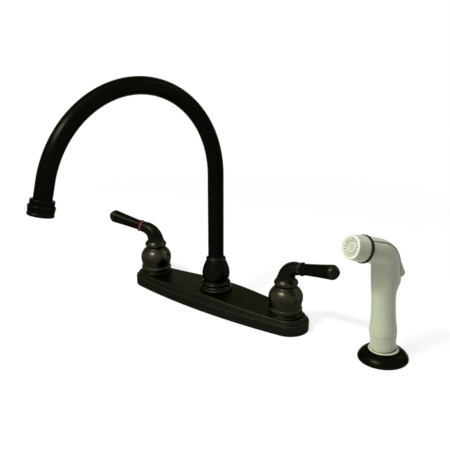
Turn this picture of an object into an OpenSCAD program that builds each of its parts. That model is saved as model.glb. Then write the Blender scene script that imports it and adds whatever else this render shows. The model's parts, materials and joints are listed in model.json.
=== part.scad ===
// Two-handle kitchen tap with a swivelling gooseneck spout and a separate side sprayer.
// Origin: middle of the deck plate's underside. X runs from the hot side to the cold side,
// -Y is towards the user and +Z is up. All lengths are millimetres.

/* [Layout] */
// Distance between the hot and cold valve axes
valve_centres = 203.2; // [190:0.2:230]
// Sprayer holder, distance to the right of the spout axis
holder_x = 220; // [195:1:320]
// Sprayer holder, distance behind the valve line
holder_y = 5.3; // [-30:0.1:40]

/* [Deck plate] */
// Overall length of the deck plate
plate_length = 258.7; // [240:0.1:300]
// Width of the deck plate across its middle
plate_width = 59.9; // [56:0.1:70]
// Radius of the plate's round ends
plate_end_r = 22.4; // [21.5:0.1:26]
// Height of the plate's vertical side wall
plate_wall_h = 12.5; // [11:0.1:15]
// Height of the flat seats under the handles
plate_seat_h = 17.2; // [16.5:0.1:21]
// Height of the raised middle under the spout
plate_crown_h = 20.4; // [18:0.1:25]
// Wall thickness of the plate's shell
plate_shell = 2.6; // [2:0.1:3.5]
// Thickness of the sealing gasket
gasket_t = 1.8; // [1.2:0.1:2.4]

/* [Handles] */
// Direction of the hot lever when shut, from +X
hot_yaw = 193.1; // [150:0.1:230]
// Direction of the cold lever when shut, from +X
cold_yaw = -4.7; // [-50:0.1:30]
// Widest radius of the handle's bell
bell_r = 19.35; // [18.8:0.05:21]
// Height of the bell's widest part
bell_z = 37; // [36:0.1:39]
// Radius of the bead round the bell's lower rim
rim_r = 18.95; // [18.4:0.05:20]
// Radius of the collar bead below the neck
collar_r = 13.5; // [12.8:0.05:15]
// Height of the collar bead
collar_z = 54.5; // [54:0.1:56]
// Radius of the neck above the collar
neck_r = 10.5; // [9.5:0.1:11.5]
// Centre-line radius of the neck's bend
bend_r = 16.3; // [14.5:0.1:20]
// Upward tilt of the lever
lever_tilt = 10.5; // [0:0.5:25]
// Radius of the neck where it meets the index ring
neck_end_r = 6.9; // [6.6:0.05:7.4]
// Radius of the foot ring under the bell
foot_r = 20.5; // [19.5:0.1:22]

/* [Levers] */
// Length of the lever from the neck's end face to its tip
lever_length = 51.5; // [40:0.5:70]
// Radius of the lever near the bead
lever_r = 6.3; // [5.8:0.05:6.8]
// Largest radius of the lever, near its tip
lever_tip_r = 8.1; // [7.2:0.05:9.5]
// Radius of the lever's bead
lever_bead_r = 7.65; // [7.3:0.05:8.5]
// Width of the coloured index ring
index_w = 1.8; // [1.2:0.1:2.4]

/* [Spout] */
// Outer radius of the spout tube
spout_r = 9.26; // [9:0.02:10]
// Wall thickness of the spout tube
spout_wall = 1.6; // [1.2:0.1:1.8]
// Height at which the tube starts to bend
spout_rise = 161; // [130:1:220]
// Centre-line radius of the bend
spout_bend_r = 108; // [80:1:130]
// Angle that the tube turns through
spout_sweep = 166; // [140:1:180]
// Straight length after the bend
spout_tail = 18; // [12:0.5:40]
// How much the tube's straight end is opened out to its gauge
tail_swell = 0.02; // [0.02:0.01:0.05]
// Direction of the spout at rest, from straight ahead
spout_yaw = -8; // [-45:1:45]
// Largest radius of the spout's bell-shaped base
base_bell_r = 16; // [15.5:0.1:18]
// Radius of the spout base's foot
base_foot_r = 20.5; // [19:0.1:23]
// Height of the spout base's top edge
base_top_z = 56.9; // [54:0.1:64]

/* [Outlet] */
// Radius of the adapter ring on the tube's end
adapter_r = 12; // [11.6:0.1:13]
// Height of the adapter ring
adapter_h = 5.5; // [4.5:0.1:8]
// Largest radius of the aerator housing
aerator_r = 13.4; // [12.8:0.1:15]
// Height of the aerator housing
aerator_h = 10.4; // [9.5:0.1:14]

/* [Sprayer] */
// Direction that the sprayer's face looks, from +X
spray_yaw = -109.7; // [-150:0.1:-60]
// Lean of the sprayer's handle in its holder
spray_lean = 4.5; // [0:0.5:8]
// Upward tilt of the sprayer's head
head_tilt = 16.5; // [0:0.5:30]
// Height at which the handle and head axes cross
head_z = 117.4; // [112:0.5:135]
// Distance from that crossing to the front face
head_reach = 45.3; // [42:0.5:60]
// Radius of the handle's grip
grip_r = 12.6; // [12.2:0.1:13.2]
// Radius of the nozzle's front
nozzle_r = 11.9; // [11.4:0.1:12.4]
// Length of the nozzle from its face to the black ring
nozzle_l = 15.4; // [14:0.1:18]
// Outer radius of the black ring
ring_r = 13.85; // [13.5:0.05:14.5]
// Number of spray holes
hole_count = 17; // [12:1:20]

/* [Sprayer holder] */
// Radius of the domed flange
flange_r = 26; // [24:0.5:32]
// Height of the dome
flange_h = 10.6; // [9:0.1:13]
// Radius of the pale liner's rim
liner_rim_r = 15.6; // [15.2:0.1:17]
// Inner radius of the liner
liner_bore_r = 12; // [11.6:0.1:12.4]
// Radius of the holder's shank
holder_shank_r = 15; // [14.8:0.1:16]

/* [Below the deck] */
// Length of the supply shanks below the deck
shank_l = 58; // [45:1:80]
// Thread radius of the supply shanks
shank_r = 10.3; // [10:0.1:11]
// Thickness of the deck that the nuts are drawn against
deck_t = 14; // [10:1:25]
// Thread radius of the spray hose outlet
outlet_r = 6.85; // [6.5:0.05:7.5]
// Length of the holder's shank below the deck
holder_shank_l = 42; // [36:1:60]
// Width of the groove between the thread under a nut and the free end
relief_w = 1; // [0.8:0.1:1.5]
// Depth of that groove
relief_depth = 0.5; // [0.4:0.05:0.7]
// Wall of the supply shanks
shank_wall = 3.5; // [2.5:0.1:4]
// Width across the flats of the supply nuts
supply_nut_w = 32; // [30:0.5:36]
// Width across the flats of the holder's nut
holder_nut_w = 38; // [36:0.5:44]
// Height of the nuts below the deck
nut_h = 10; // [8:0.5:12]

/* [Fits] */
// Radial clearance of a turning or sliding fit
running = 0.05; // [0.03:0.01:0.08]
// Gap between pieces that must not touch
gap = 0.3; // [0.25:0.05:0.4]
// Radial clearance of a screwed or brazed joint
thread_gap = 0.1; // [0.05:0.05:0.15]

/* [Hidden] */
$fn = 64;

bronze = "#2b2620";
brass = "#b5925a";
rubber = "#1c1c1c";
white = "#e9e8dc";
steel = "#a9adb0";
plastic = "#d8d4c4";

valve_x = valve_centres / 2;

// Outline of the deck plate: two long shallow arcs joined tangentially to round ends
plate_end_x = plate_length / 2 - plate_end_r;
side_r = (pow(plate_end_x, 2) + pow(plate_width / 2, 2) - pow(plate_end_r, 2))
    / (plate_width - 2 * plate_end_r);
side_y = side_r - plate_width / 2;
end_half_angle = atan2(side_y, plate_end_x);
end_steps = 14;
side_steps = 22;
// Where the crown has run out into the level seats
crown_reach = valve_x - 6;

// Heights inside the valves, built up from the deck
body_flange_t = 3;
body_r = 11;
body_bore_r = 8.3;
body_top = plate_seat_h + 10.8;
body_floor = 5.5;
port_r = 5;
tube_seat = body_bore_r + gap;
supply_washer_t = 2;
// Where the shanks' free ends begin, below their nuts
free_end_z = -deck_t - supply_washer_t - nut_h - 2;
holder_end_z = -deck_t - nut_h - 2;
nipple_end_z = -2;
ledge_z = -2.5;
seat_h = 3.2;
cross_z = 8.6;
cross_r = 4.6;
cross_bore_r = 2.9;
lock_nut_z = plate_seat_h + 4.8;
lock_nut_h = 3.9;
lock_nut_w = 26;
bonnet_z = lock_nut_z + lock_nut_h + gap;
bonnet_h = 6.2;
bonnet_r = 13.6;
cartridge_flange_t = 2;
cartridge_top = body_top + 8;
stem_r = 4;
stem_top = 50;
seal_z = body_top + 4;
disc_r = 7.1;
disc_z = body_floor + 1;
disc_h = 4.7;
seat_top = disc_z - gap;
rim_z = lock_nut_z + 0.35;

// Spout post and what turns in it
post_r = 12.4;
post_top = 44;
post_floor = 24;
post_seat = post_r - 4;
spigot_z = post_floor + 1.8;
spigot_h = 16;
spigot_bore_r = 5.2;
post_bore_r = spout_r + running + 0.04;
washer_t = 0.9;
snap_t = 1.2;
snap_groove = 0.5;
lip_z = post_top + washer_t + snap_t + 0.5;
tube_bore_r = spout_r - spout_wall;
tube_z = spigot_z + spigot_h;
collar_h = 4.3;
diverter_r = 5.8;
diverter_z = 12.2;
diverter_h = 11;

// End of the spout tube, and the axis of the outlet
tail_u = spout_bend_r * (1 - cos(spout_sweep)) + spout_tail * sin(spout_sweep);
tail_z = spout_rise + spout_bend_r * sin(spout_sweep) + spout_tail * cos(spout_sweep);
// How far the adapter reaches up over the tube's end
adapter_lap = 2;
thread_r = 10.6;

// Sprayer, along its leaning axis from the deck upwards
collar_z0 = 13.35;
seam_z = 21.6;
head_turn = 90 - spray_lean - head_tilt;
head_bend_r = 15;
bend_tangent = head_bend_r * tan(head_turn / 2);
head_back = nozzle_l + 2.1;
plunger_z = 100;
plunger_r = 3.4;
neck_r_max = 12.8;
spigot_r = 9.4;
pin_r = 1.2;

function arc_points(c, r, a0, a1, n) =
    [for (i = [0:n]) c + r * [cos(a0 + (a1 - a0) * i / n), sin(a0 + (a1 - a0) * i / n)]];

// Catmull-Rom curve through the points p, with n steps between neighbours
function curve_at(a, b, c, d, t) = 0.5 * (2 * b + (c - a) * t + (2 * a - 5 * b + 4 * c - d) * t * t
    + (3 * b - a - 3 * c + d) * t * t * t);
function curve(p, n = 4) = concat([for (i = [0:len(p) - 2], j = [0:n - 1])
    curve_at(p[max(i - 1, 0)], p[i], p[i + 1], p[min(i + 2, len(p) - 1)], j / n)], [p[len(p) - 1]]);

// Closed skin through a list of rings with equal numbers of points
module skin(rings) {
    m = len(rings);
    n = len(rings[0]);
    side = [for (i = [0:m - 2], j = [0:n - 1]) let (k = (j + 1) % n)
        each [[i * n + j, i * n + k, (i + 1) * n + k], [i * n + j, (i + 1) * n + k, (i + 1) * n + j]]];
    first = [for (j = [n - 1:-1:0]) j];
    last = [for (j = [0:n - 1]) (m - 1) * n + j];
    polyhedron([for (r = rings) each r], concat([first], side, [last]), convexity = 8);
}

// Ring of n points round p, in the plane of the unit vectors a and b
function ring(p, a, b, r, n) = [for (i = [0:n - 1]) p + r * (a * cos(360 * i / n) + b * sin(360 * i / n))];

// Round wire wound into a compression spring along +Z
module coil_spring(mean_r, wire_r, height, turns) {
    steps = 12 * turns;
    skin([for (i = [0:steps]) let (a = 30 * i, z = wire_r + (height - 2 * wire_r) * i / steps)
        ring([mean_r * cos(a), mean_r * sin(a), z], [cos(a), sin(a), 0], [0, 0, 1], wire_r, 6)]);
}

module at_valves() {
    for (side = [-1, 1]) translate([side * valve_x, 0, 0]) children();
}

module hex_nut(across, h, bore) {
    difference() {
        intersection() {
            cylinder(h = h, r = across / 2 / cos(30), $fn = 6);
            rotate_extrude() polygon([[0, 0], [across / 2, 0], [across / 2 + 2, 0.9],
                [across / 2 + 2, h - 0.9], [across / 2, h], [0, h]]);
        }
        translate([0, 0, -1]) cylinder(h = h + 2, r = bore);
    }
}

// Point on the plate's outline at a given inset, and the order of those points
function side_points(inset, sign, flip) = [for (i = [1:side_steps - 1])
    let (a = (90 - end_half_angle) * (1 - 2 * i / side_steps) * flip)
    [(side_r - inset) * sin(a), sign * ((side_r - inset) * cos(a) - side_y)]];
function outline(inset) = concat(
    arc_points([plate_end_x, 0], plate_end_r - inset, -end_half_angle, end_half_angle, end_steps),
    side_points(inset, 1, 1),
    arc_points([-plate_end_x, 0], plate_end_r - inset,
        180 - end_half_angle, 180 + end_half_angle, end_steps),
    side_points(inset, -1, -1));

module plate_2d(inset) {
    reach = 2 * plate_end_r;
    for (side = [-1, 1]) translate([side * plate_end_x, 0]) circle(plate_end_r - inset);
    intersection() {
        translate([0, side_y]) circle(side_r - inset, $fn = 1440);
        translate([0, -side_y]) circle(side_r - inset, $fn = 1440);
        polygon([for (p = [[-1, 0, 0], [-1, -1, 1], [1, -1, 1], [1, 0, 0], [1, 1, 1], [-1, 1, 1]])
            [p[0] * (plate_end_x + p[2] * reach * cos(end_half_angle)),
                p[1] * reach * sin(end_half_angle)]]);
    }
}

// Height of the plate's top: level under the handles, rising to the crown under the spout
function plate_top(x) = plate_seat_h + (plate_crown_h - plate_seat_h)
    * (abs(x) < crown_reach ? (1 + cos(180 * x / crown_reach)) / 2 : 0);

// Side of the plate from the deck upwards: inset, height above the deck, and drop below the top
plate_side = [
    [0.5, 0, -1], [0, 0.5, -1], [0, plate_wall_h - 1.7, -1], [0.45, plate_wall_h - 0.5, -1],
    [1.6, plate_wall_h, -1], [2.5, plate_wall_h + 0.1, -1], [3.1, plate_wall_h + 0.7, -1],
    [3.4, 0, 1.9], [3.9, 0, 0.9], [4.8, 0, 0.25], [6, 0, 0]];

module plate_skin() {
    rings = [for (l = plate_side) [for (p = outline(l[0])) [p[0], p[1],
        l[2] < 0 ? l[1] : plate_top(p[0]) - l[2]]]];
    m = len(rings);
    n = len(rings[0]);
    last = (m - 1) * n;
    side = [for (i = [0:m - 2], j = [0:n - 1]) let (k = (j + 1) % n)
        each [[i * n + j, (i + 1) * n + k, i * n + k], [i * n + j, (i + 1) * n + j, (i + 1) * n + k]]];
    // The top is closed by strips between points that face each other across the plate
    middle = end_steps / 2;
    top = [for (i = [0:n / 2 - 1])
        let (a = last + (middle + i) % n, b = last + (middle + i + 1) % n,
            c = last + (middle - i - 1 + n) % n, d = last + (middle - i + n) % n)
        each (i == 0 ? [[a, c, b]] : i == n / 2 - 1 ? [[a, d, b]] : [[a, c, b], [a, d, c]])];
    polyhedron([for (r = rings) each r], concat([[for (j = [0:n - 1]) j]], side, top), convexity = 4);
}

module deck_plate() {
    color(bronze) difference() {
        plate_skin();
        translate([0, 0, -1]) linear_extrude(plate_wall_h - plate_shell + 1) plate_2d(plate_shell);
        translate([0, 0, 1]) linear_extrude(plate_seat_h - plate_shell - 1) plate_2d(plate_shell + 3.6);
        at_valves() {
            translate([0, 0, plate_wall_h]) cylinder(h = 20, r = body_r + gap);
            translate([0, 0, plate_seat_h]) cylinder(h = 9, r = foot_r + gap);
        }
        translate([0, 0, plate_wall_h]) cylinder(h = 20, r = post_r + gap);
        translate([0, 0, plate_crown_h - 0.15]) cylinder(h = 9, r = base_foot_r + gap);
    }
}

module deck_gasket() {
    color(rubber) difference() {
        linear_extrude(gasket_t) plate_2d(plate_shell + gap);
        at_valves() translate([0, 0, -1]) cylinder(h = 9, r = shank_r + gap);
        translate([0, 0, -1]) cylinder(h = 9, r = outlet_r + gap);
    }
}

// Groove round a shank of radius r, to be cut from it, with its lower edge at z
module relief(r, z) {
    translate([0, 0, z]) difference() {
        cylinder(h = relief_w, r = r + 1);
        translate([0, 0, -1]) cylinder(h = relief_w + 2, r = r - relief_depth);
    }
}

// Valve body with its supply shank, the cartridge's bore and a socket for the cross tube
module valve_body(side) {
    color(brass) translate([side * valve_x, 0, 0]) difference() {
        union() {
            translate([0, 0, gasket_t]) cylinder(h = body_flange_t, r = body_r + 3.3);
            translate([0, 0, gasket_t]) cylinder(h = body_top - gasket_t, r = body_r);
            translate([0, 0, -shank_l]) cylinder(h = shank_l + gasket_t + 1, r = shank_r);
        }
        relief(shank_r, free_end_z);
        translate([0, 0, -shank_l - 1]) cylinder(h = shank_l - 5, r = shank_r - shank_wall);
        translate([0, 0, -shank_l]) cylinder(h = shank_l + ledge_z + 1, r = port_r - 1.2);
        translate([0, 0, ledge_z]) cylinder(h = body_floor - ledge_z + 1, r = port_r);
        translate([0, 0, body_floor]) cylinder(h = body_top, r = body_bore_r);
        translate([0, 0, cross_z]) rotate([0, -90 * side, 0]) {
            cylinder(h = body_r, r = cross_bore_r);
            translate([0, 0, tube_seat]) cylinder(h = body_r, r = cross_r + thread_gap);
        }
    }
}
module hot_valve_body() valve_body(-1);
module cold_valve_body() valve_body(1);

// Tubes that carry the water from the two valve bodies to the post, in a socket at each end
module cross_tubes() {
    length = valve_x - tube_seat - post_seat - 2 * thread_gap;
    color(brass) for (side = [-1, 1]) translate([0, 0, cross_z]) rotate([0, 90 * side, 0])
        translate([0, 0, post_seat + thread_gap]) difference() {
            cylinder(h = length, r = cross_r);
            translate([0, 0, -1]) cylinder(h = length + 2, r = cross_bore_r);
        }
}

// Post that the spout turns in, with the diverter's bore below
module spout_post() {
    color(brass) difference() {
        union() {
            translate([0, 0, gasket_t]) cylinder(h = body_flange_t, r = post_r + 2.6);
            translate([0, 0, gasket_t]) cylinder(h = post_top - gasket_t, r = post_r);
        }
        for (side = [-1, 1]) translate([0, 0, cross_z]) rotate([0, 90 * side, 0]) {
            cylinder(h = post_r, r = cross_bore_r);
            translate([0, 0, post_seat]) cylinder(h = post_r, r = cross_r + thread_gap);
        }
        translate([0, 0, gasket_t - 1]) cylinder(h = 3.6, r = outlet_r - 1.85);
        translate([0, 0, gasket_t]) cylinder(h = diverter_z - gasket_t + 1, r = outlet_r - 2.4);
        translate([0, 0, diverter_z]) cylinder(h = post_top, r = diverter_r + thread_gap);
        translate([0, 0, post_floor]) cylinder(h = post_top, r = post_bore_r);
    }
}

module supply_nuts() {
    flange_t = 2;
    color(brass) at_valves() translate([0, 0, -deck_t - supply_washer_t - nut_h]) {
        hex_nut(supply_nut_w, nut_h, shank_r + thread_gap);
        translate([0, 0, nut_h - flange_t]) difference() {
            cylinder(h = flange_t, r = supply_nut_w / 2 + 1.5);
            translate([0, 0, -1]) cylinder(h = flange_t + 2, r = shank_r + thread_gap);
        }
    }
}

module supply_washers() {
    color(rubber) at_valves() translate([0, 0, -deck_t - supply_washer_t]) difference() {
        cylinder(h = supply_washer_t, r = supply_nut_w / 2 + 2.5);
        translate([0, 0, -1]) cylinder(h = supply_washer_t + 2, r = shank_r + thread_gap);
    }
}

module spray_outlet_nipple() {
    length = shank_l - 20;
    color(brass) difference() {
        union() {
            translate([0, 0, -length]) cylinder(h = length + gasket_t, r = outlet_r);
            cylinder(h = gasket_t + 2.4, r = outlet_r - 1.85 - thread_gap);
        }
        relief(outlet_r, nipple_end_z);
        translate([0, 0, -length - 1]) cylinder(h = length + 20, r = outlet_r - 3.65);
    }
}

module foot_ring() {
    z = plate_seat_h;
    color(bronze) rotate_extrude() polygon(concat(
        [[body_r + thread_gap, z], [foot_r - 0.4, z], [foot_r, z + 0.4], [foot_r, z + 1.5]],
        curve([[foot_r - 0.15, z + 1.9], [foot_r - 0.7, z + 2.3], [foot_r - 1.6, z + 2.6],
        [foot_r - 2.2, z + 3.2],
            [foot_r - 2.3, z + 4]]),
        [[foot_r - 2.3, lock_nut_z - 0.2], [foot_r - 2.5, lock_nut_z], [body_r + thread_gap, lock_nut_z]]));
}
module hot_foot_ring() translate([-valve_x, 0, 0]) foot_ring();
module cold_foot_ring() translate([valve_x, 0, 0]) foot_ring();

module plate_lock_nuts() {
    color(brass) at_valves() translate([0, 0, lock_nut_z])
        hex_nut(lock_nut_w, lock_nut_h, body_r + thread_gap);
}

module bonnet_nuts() {
    lip = body_top + cartridge_flange_t;
    color(brass) at_valves() difference() {
        translate([0, 0, bonnet_z]) hex_nut(2 * bonnet_r * cos(30), bonnet_h, body_r - 3.6);
        translate([0, 0, bonnet_z - 1]) cylinder(h = lip - bonnet_z + 1, r = body_r + thread_gap);
    }
}

module valve_seats() {
    color(rubber) at_valves() translate([0, 0, seat_top - seat_h]) difference() {
        cylinder(h = seat_h, r = port_r - thread_gap);
        translate([0, 0, -1]) cylinder(h = seat_h + 2, r = 2.2);
    }
}

module seat_springs() {
    wire = 0.45;
    color(steel) at_valves() translate([0, 0, ledge_z])
        coil_spring(port_r - 0.4 - wire, wire, seat_top - seat_h - ledge_z, 4);
}

// Cartridge with its window towards the middle of the tap
module cartridge(side) {
    color(plastic) translate([side * valve_x, 0, 0]) difference() {
        union() {
            translate([0, 0, body_floor]) cylinder(h = body_top - body_floor + 0.5,
                r = body_bore_r - thread_gap);
            translate([0, 0, body_top]) cylinder(h = cartridge_flange_t, r = body_r - 0.4);
            translate([0, 0, body_top]) cylinder(h = cartridge_top - body_top, r = body_r - 4);
        }
        translate([0, 0, body_floor - 1]) cylinder(h = disc_z + disc_h + gap - body_floor + 1,
            r = disc_r + 0.1);
        cylinder(h = cartridge_top + 1, r = stem_r + running);
        translate([0, 0, cross_z]) rotate([0, -90 * side, 0])
            cylinder(h = 2 * body_r, r = cross_bore_r - 0.7);
    }
}
module hot_cartridge() cartridge(-1);
module cold_cartridge() cartridge(1);

// Stem with its ported disc, a groove for the seal and a flat for the set screw
module stem() {
    color(brass) difference() {
        union() {
            translate([0, 0, disc_z]) cylinder(h = disc_h, r = disc_r);
            translate([0, 0, disc_z]) cylinder(h = stem_top - disc_z, r = stem_r);
        }
        translate([0, 5, disc_z - 1]) cylinder(h = disc_h - 1.2, r = 1.6);
        translate([0, 0, seal_z]) difference() {
            cylinder(h = 1.1, r = stem_r + 1);
            translate([0, 0, -1]) cylinder(h = 3, r = stem_r - 0.9);
        }
        translate([-stem_r - 1, -stem_r, cartridge_top + 1.4]) cube([1.6, 2 * stem_r, stem_top]);
    }
}

module stem_seal() {
    color(rubber) translate([0, 0, seal_z + 0.55]) rotate_extrude()
        translate([stem_r - 0.44, 0]) circle(0.44);
}

module at_hot() translate([-valve_x, 0, 0]) rotate([0, 0, hot_yaw]) children();
module at_cold() translate([valve_x, 0, 0]) rotate([0, 0, cold_yaw]) children();

module hot_stem() at_hot() stem();
module cold_stem() at_cold() stem();
module hot_stem_seal() at_hot() stem_seal();
module cold_stem_seal() at_cold() stem_seal();

// Handle casting: bell, collar and swan neck. The lever points along +X.
bend_z = collar_z + 3.5;
neck_straight = 5.6;
neck_turn = 90 - lever_tilt;
screw_z = cartridge_top + 6.5;
screw_r = 1.95;

module on_lever() {
    translate([bend_r * (1 - cos(neck_turn)), 0, bend_z + bend_r * sin(neck_turn)])
        rotate([0, neck_turn, 0]) translate([0, 0, neck_straight]) children();
}

module handle_bell() {
    rim = [[rim_r - 0.7, rim_z], [rim_r - 0.15, rim_z + 0.6], [rim_r, rim_z + 1.7], [rim_r - 0.2, rim_z + 3],
        [rim_r - 0.8, rim_z + 4], [rim_r - 0.95, rim_z + 5.3]];
    belly = [[bell_r - 1.1, bell_z - 7], [bell_r - 0.5, bell_z - 4], [bell_r - 0.08, bell_z - 1.5],
        [bell_r, bell_z + 0.3], [bell_r - 0.2, bell_z + 3], [bell_r - 1, bell_z + 5.4],
        [bell_r - 2.5, bell_z + 8.2], [bell_r - 4.5, bell_z + 10.7]];
    collar = [[collar_r - 0.5, collar_z - 5.2], [collar_r - 1.35, collar_z - 4.1], [collar_r - 1.1,
        collar_z - 2.9],
        [collar_r - 0.3, collar_z - 1.4], [collar_r, collar_z], [collar_r - 0.3, collar_z + 1.4],
        [collar_r - 1.3, collar_z + 2.8], [neck_r + 0.6, collar_z + 4.2], [neck_r, collar_z + 5.4]];
    rotate_extrude() polygon(concat([[0, rim_z], [rim_r - 2.4, rim_z]], curve(concat(rim, belly, collar), 3),
        [[0, collar_z + 5.4]]));
}

module swan_neck() {
    steps = 14;
    run = bend_r * neck_turn * PI / 180 + neck_straight;
    bend = [for (i = [0:steps]) let (a = neck_turn * i / steps, t = bend_r * a * PI / 180 / run)
        ring([bend_r * (1 - cos(a)), 0, bend_z + bend_r * sin(a)], [0, 1, 0], [cos(a), 0, -sin(a)],
            neck_end_r + (neck_r - neck_end_r) * pow(1 - t, 1.2), 30)];
    end = [bend_r * (1 - cos(neck_turn)), 0, bend_z + bend_r * sin(neck_turn)];
    skin(concat([ring([0, 0, collar_z], [0, 1, 0], [1, 0, 0], neck_r, 30)], bend,
        [ring(end + neck_straight * [sin(neck_turn), 0, cos(neck_turn)], [0, 1, 0],
            [cos(neck_turn), 0, -sin(neck_turn)], neck_end_r, 30)]));
}

module handle() {
    color(bronze) difference() {
        union() {
            handle_bell();
            swan_neck();
            on_lever() translate([0, 0, -2]) cylinder(h = 10, r = 3);
        }
        rotate_extrude() polygon([[0, 0], [lock_nut_r + 0.6, 0], [lock_nut_r + 0.6,
            lock_nut_z + lock_nut_h + 0.7],
            [bonnet_r + 0.6, bonnet_z + 1.6], [bonnet_r + 0.6, bonnet_z + bonnet_h + 0.6],
            [body_r, cartridge_top + 0.8], [0, cartridge_top + 0.8]]);
        cylinder(h = stem_top + gap, r = stem_r + running);
        translate([0, 0, screw_z]) rotate([0, -90, 0]) cylinder(h = 2 * bell_r, r = screw_r + thread_gap);
    }
}
lock_nut_r = lock_nut_w / 2 / cos(30);

module index_ring(tint) {
    color(tint) on_lever() difference() {
        cylinder(h = index_w, r = neck_end_r + 0.15);
        translate([0, 0, -1]) cylinder(h = index_w + 2, r = 6);
    }
}

module lever() {
    bead_z = index_w + 1.2;
    tip = lever_tip_r;
    color(bronze) on_lever() difference() {
        rotate_extrude() polygon(concat([[0, 0], [5.9, 0], [5.9, index_w]],
            arc_points([lever_bead_r - 1.2, bead_z], 1.2, -90, 50, 8),
            curve([[lever_r + 0.35, bead_z + 1.2], [lever_r, bead_z + 2.2],
                [lever_r + (tip - lever_r) * 0.45, lever_length * 0.5], [tip, lever_length - 8.5],
                [tip - 0.5, lever_length - 5.9], [tip - 2.4, lever_length - 2.7], [tip - 5,
                lever_length - 0.8],
                [0, lever_length]], 5)));
        translate([0, 0, -1]) cylinder(h = 10, r = 3 + thread_gap);
    }
}

module set_screw() {
    inner = stem_r - 0.5;
    color(steel) translate([-inner, 0, screw_z]) rotate([0, -90, 0]) difference() {
        cylinder(h = 10, r = screw_r);
        translate([0, 0, 7.5]) cylinder(h = 3, r = 1.1, $fn = 6);
    }
}

module hot_handle() at_hot() handle();
module cold_handle() at_cold() handle();
module hot_index_ring() at_hot() index_ring("#b3243a");
module cold_index_ring() at_cold() index_ring("#23306e");
module hot_lever() at_hot() lever();
module cold_lever() at_cold() lever();
module hot_set_screw() at_hot() set_screw();
module cold_set_screw() at_cold() set_screw();

// Spout: the base and its post stay still, everything from the snap ring upwards turns
module at_spout() rotate([0, 0, spout_yaw - 90]) children();

module spout_base() {
    z = plate_crown_h - 0.15;
    foot = [[base_foot_r - 0.05, z + 1.9], [base_foot_r - 0.6, z + 2.4], [base_foot_r - 1.5, z + 2.75],
        [base_foot_r - 2, z + 3.4], [base_foot_r - 2.2, z + 4.3], [base_foot_r - 2.8, z + 5.1],
        [base_foot_r - 3.6, z + 5.8], [base_foot_r - 3.7, z + 6.7], [base_foot_r - 3.25, z + 7.7],
        [base_foot_r - 3.1, z + 8.9], [base_foot_r - 3.6, z + 10.3]];
    bell = [[base_bell_r - 0.3, z + 11.6], [base_bell_r - 0.4, z + 13], [base_bell_r - 0.1, z + 15.4],
        [base_bell_r, z + 18], [base_bell_r - 0.25, z + 21.4], [base_bell_r - 0.9, z + 25.2],
        [base_bell_r - 2, z + 29.6], [base_bell_r - 3.3, z + 33.5], [base_bell_r - 4.1, base_top_z - 0.9],
        [base_bell_r - 4.5, base_top_z]];
    color(bronze) difference() {
        rotate_extrude() polygon(concat([[0, z], [base_foot_r - 0.4, z], [base_foot_r, z + 0.4],
            [base_foot_r, z + 1.5]], curve(concat(foot, bell), 3), [[0, base_top_z]]));
        translate([0, 0, -1]) cylinder(h = lip_z + 1, r = post_r + thread_gap);
        cylinder(h = 2 * base_top_z, r = spout_r + gap);
    }
}

module spout_tube() {
    lap = 1;
    color(bronze) at_spout() {
        difference() {
            translate([0, 0, tube_z]) tube_wall(spout_rise - tube_z, 0);
            translate([0, 0, post_top + washer_t]) difference() {
                cylinder(h = snap_t + 0.1, r = spout_r + 1);
                translate([0, 0, -1]) cylinder(h = 4, r = spout_r - snap_groove);
            }
        }
        translate([spout_bend_r, 0, spout_rise]) rotate([-90, 0, 0]) rotate([0, 0, 180]) {
            rotate_extrude(angle = spout_sweep, $fn = 180) translate([spout_bend_r, 0]) tube_section(0);
            rotate([0, 0, spout_sweep]) translate([spout_bend_r, -lap, 0]) rotate([-90, 0, 0])
                tube_wall(spout_tail + lap, tail_swell);
        }
    }
}
module tube_section(swell) {
    difference() {
        circle(spout_r + swell);
        circle(tube_bore_r + swell);
    }
}
module tube_wall(h, swell) linear_extrude(h) tube_section(swell);
// Along the outlet axis, from a distance past the tube's end
module spout_end(along) {
    translate([tail_u, 0, tail_z]) rotate([0, spout_sweep, 0]) translate([0, 0, along]) children();
}

module spout_collar() {
    z = base_top_z + gap;
    color(bronze) rotate_extrude() polygon(concat([[spout_r + running, z], [spout_r + 1.5, z]],
        curve([[spout_r + 2.2, z + 0.3], [spout_r + 2.6, z + 1.2], [spout_r + 2.4, z + 2.2],
        [spout_r + 1.6, z + 3.2],
            [spout_r + 0.7, z + 3.8], [spout_r + 0.3, z + collar_h]]), [[spout_r + running, z + collar_h]]));
}

module spout_spigot() {
    color(brass) difference() {
        union() {
            translate([0, 0, spigot_z]) cylinder(h = spigot_h, r = spout_r);
            translate([0, 0, spigot_z]) cylinder(h = spigot_h + 14, r = tube_bore_r - running);
        }
        translate([0, 0, spigot_z - 1]) cylinder(h = spigot_h + 20, r = spigot_bore_r);
        for (z = seal_groove_z) translate([0, 0, z]) difference() {
            cylinder(h = 1.9, r = spout_r + 1);
            translate([0, 0, -1]) cylinder(h = 4, r = spout_r - 1.45);
        }
    }
}
seal_groove_z = [spigot_z + 3, spigot_z + 9.5];

module spout_seals() {
    color(rubber) for (z = seal_groove_z) translate([0, 0, z + 0.95]) rotate_extrude()
        translate([spout_r - 0.7, 0]) circle(0.72);
}

module spout_snap_ring() {
    color(steel) at_spout() translate([0, 0, post_top + washer_t + 0.05]) difference() {
        cylinder(h = snap_t, r = post_r - 0.6);
        translate([0, 0, -1]) cylinder(h = 4, r = spout_r - snap_groove + running);
        translate([0, -3, -1]) cube([2 * post_r, 6, 4]);
    }
}

module spout_thrust_washer() {
    color(plastic) translate([0, 0, post_top]) difference() {
        cylinder(h = washer_t, r = post_r - 0.3);
        translate([0, 0, -1]) cylinder(h = 4, r = spout_r + running);
    }
}

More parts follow.
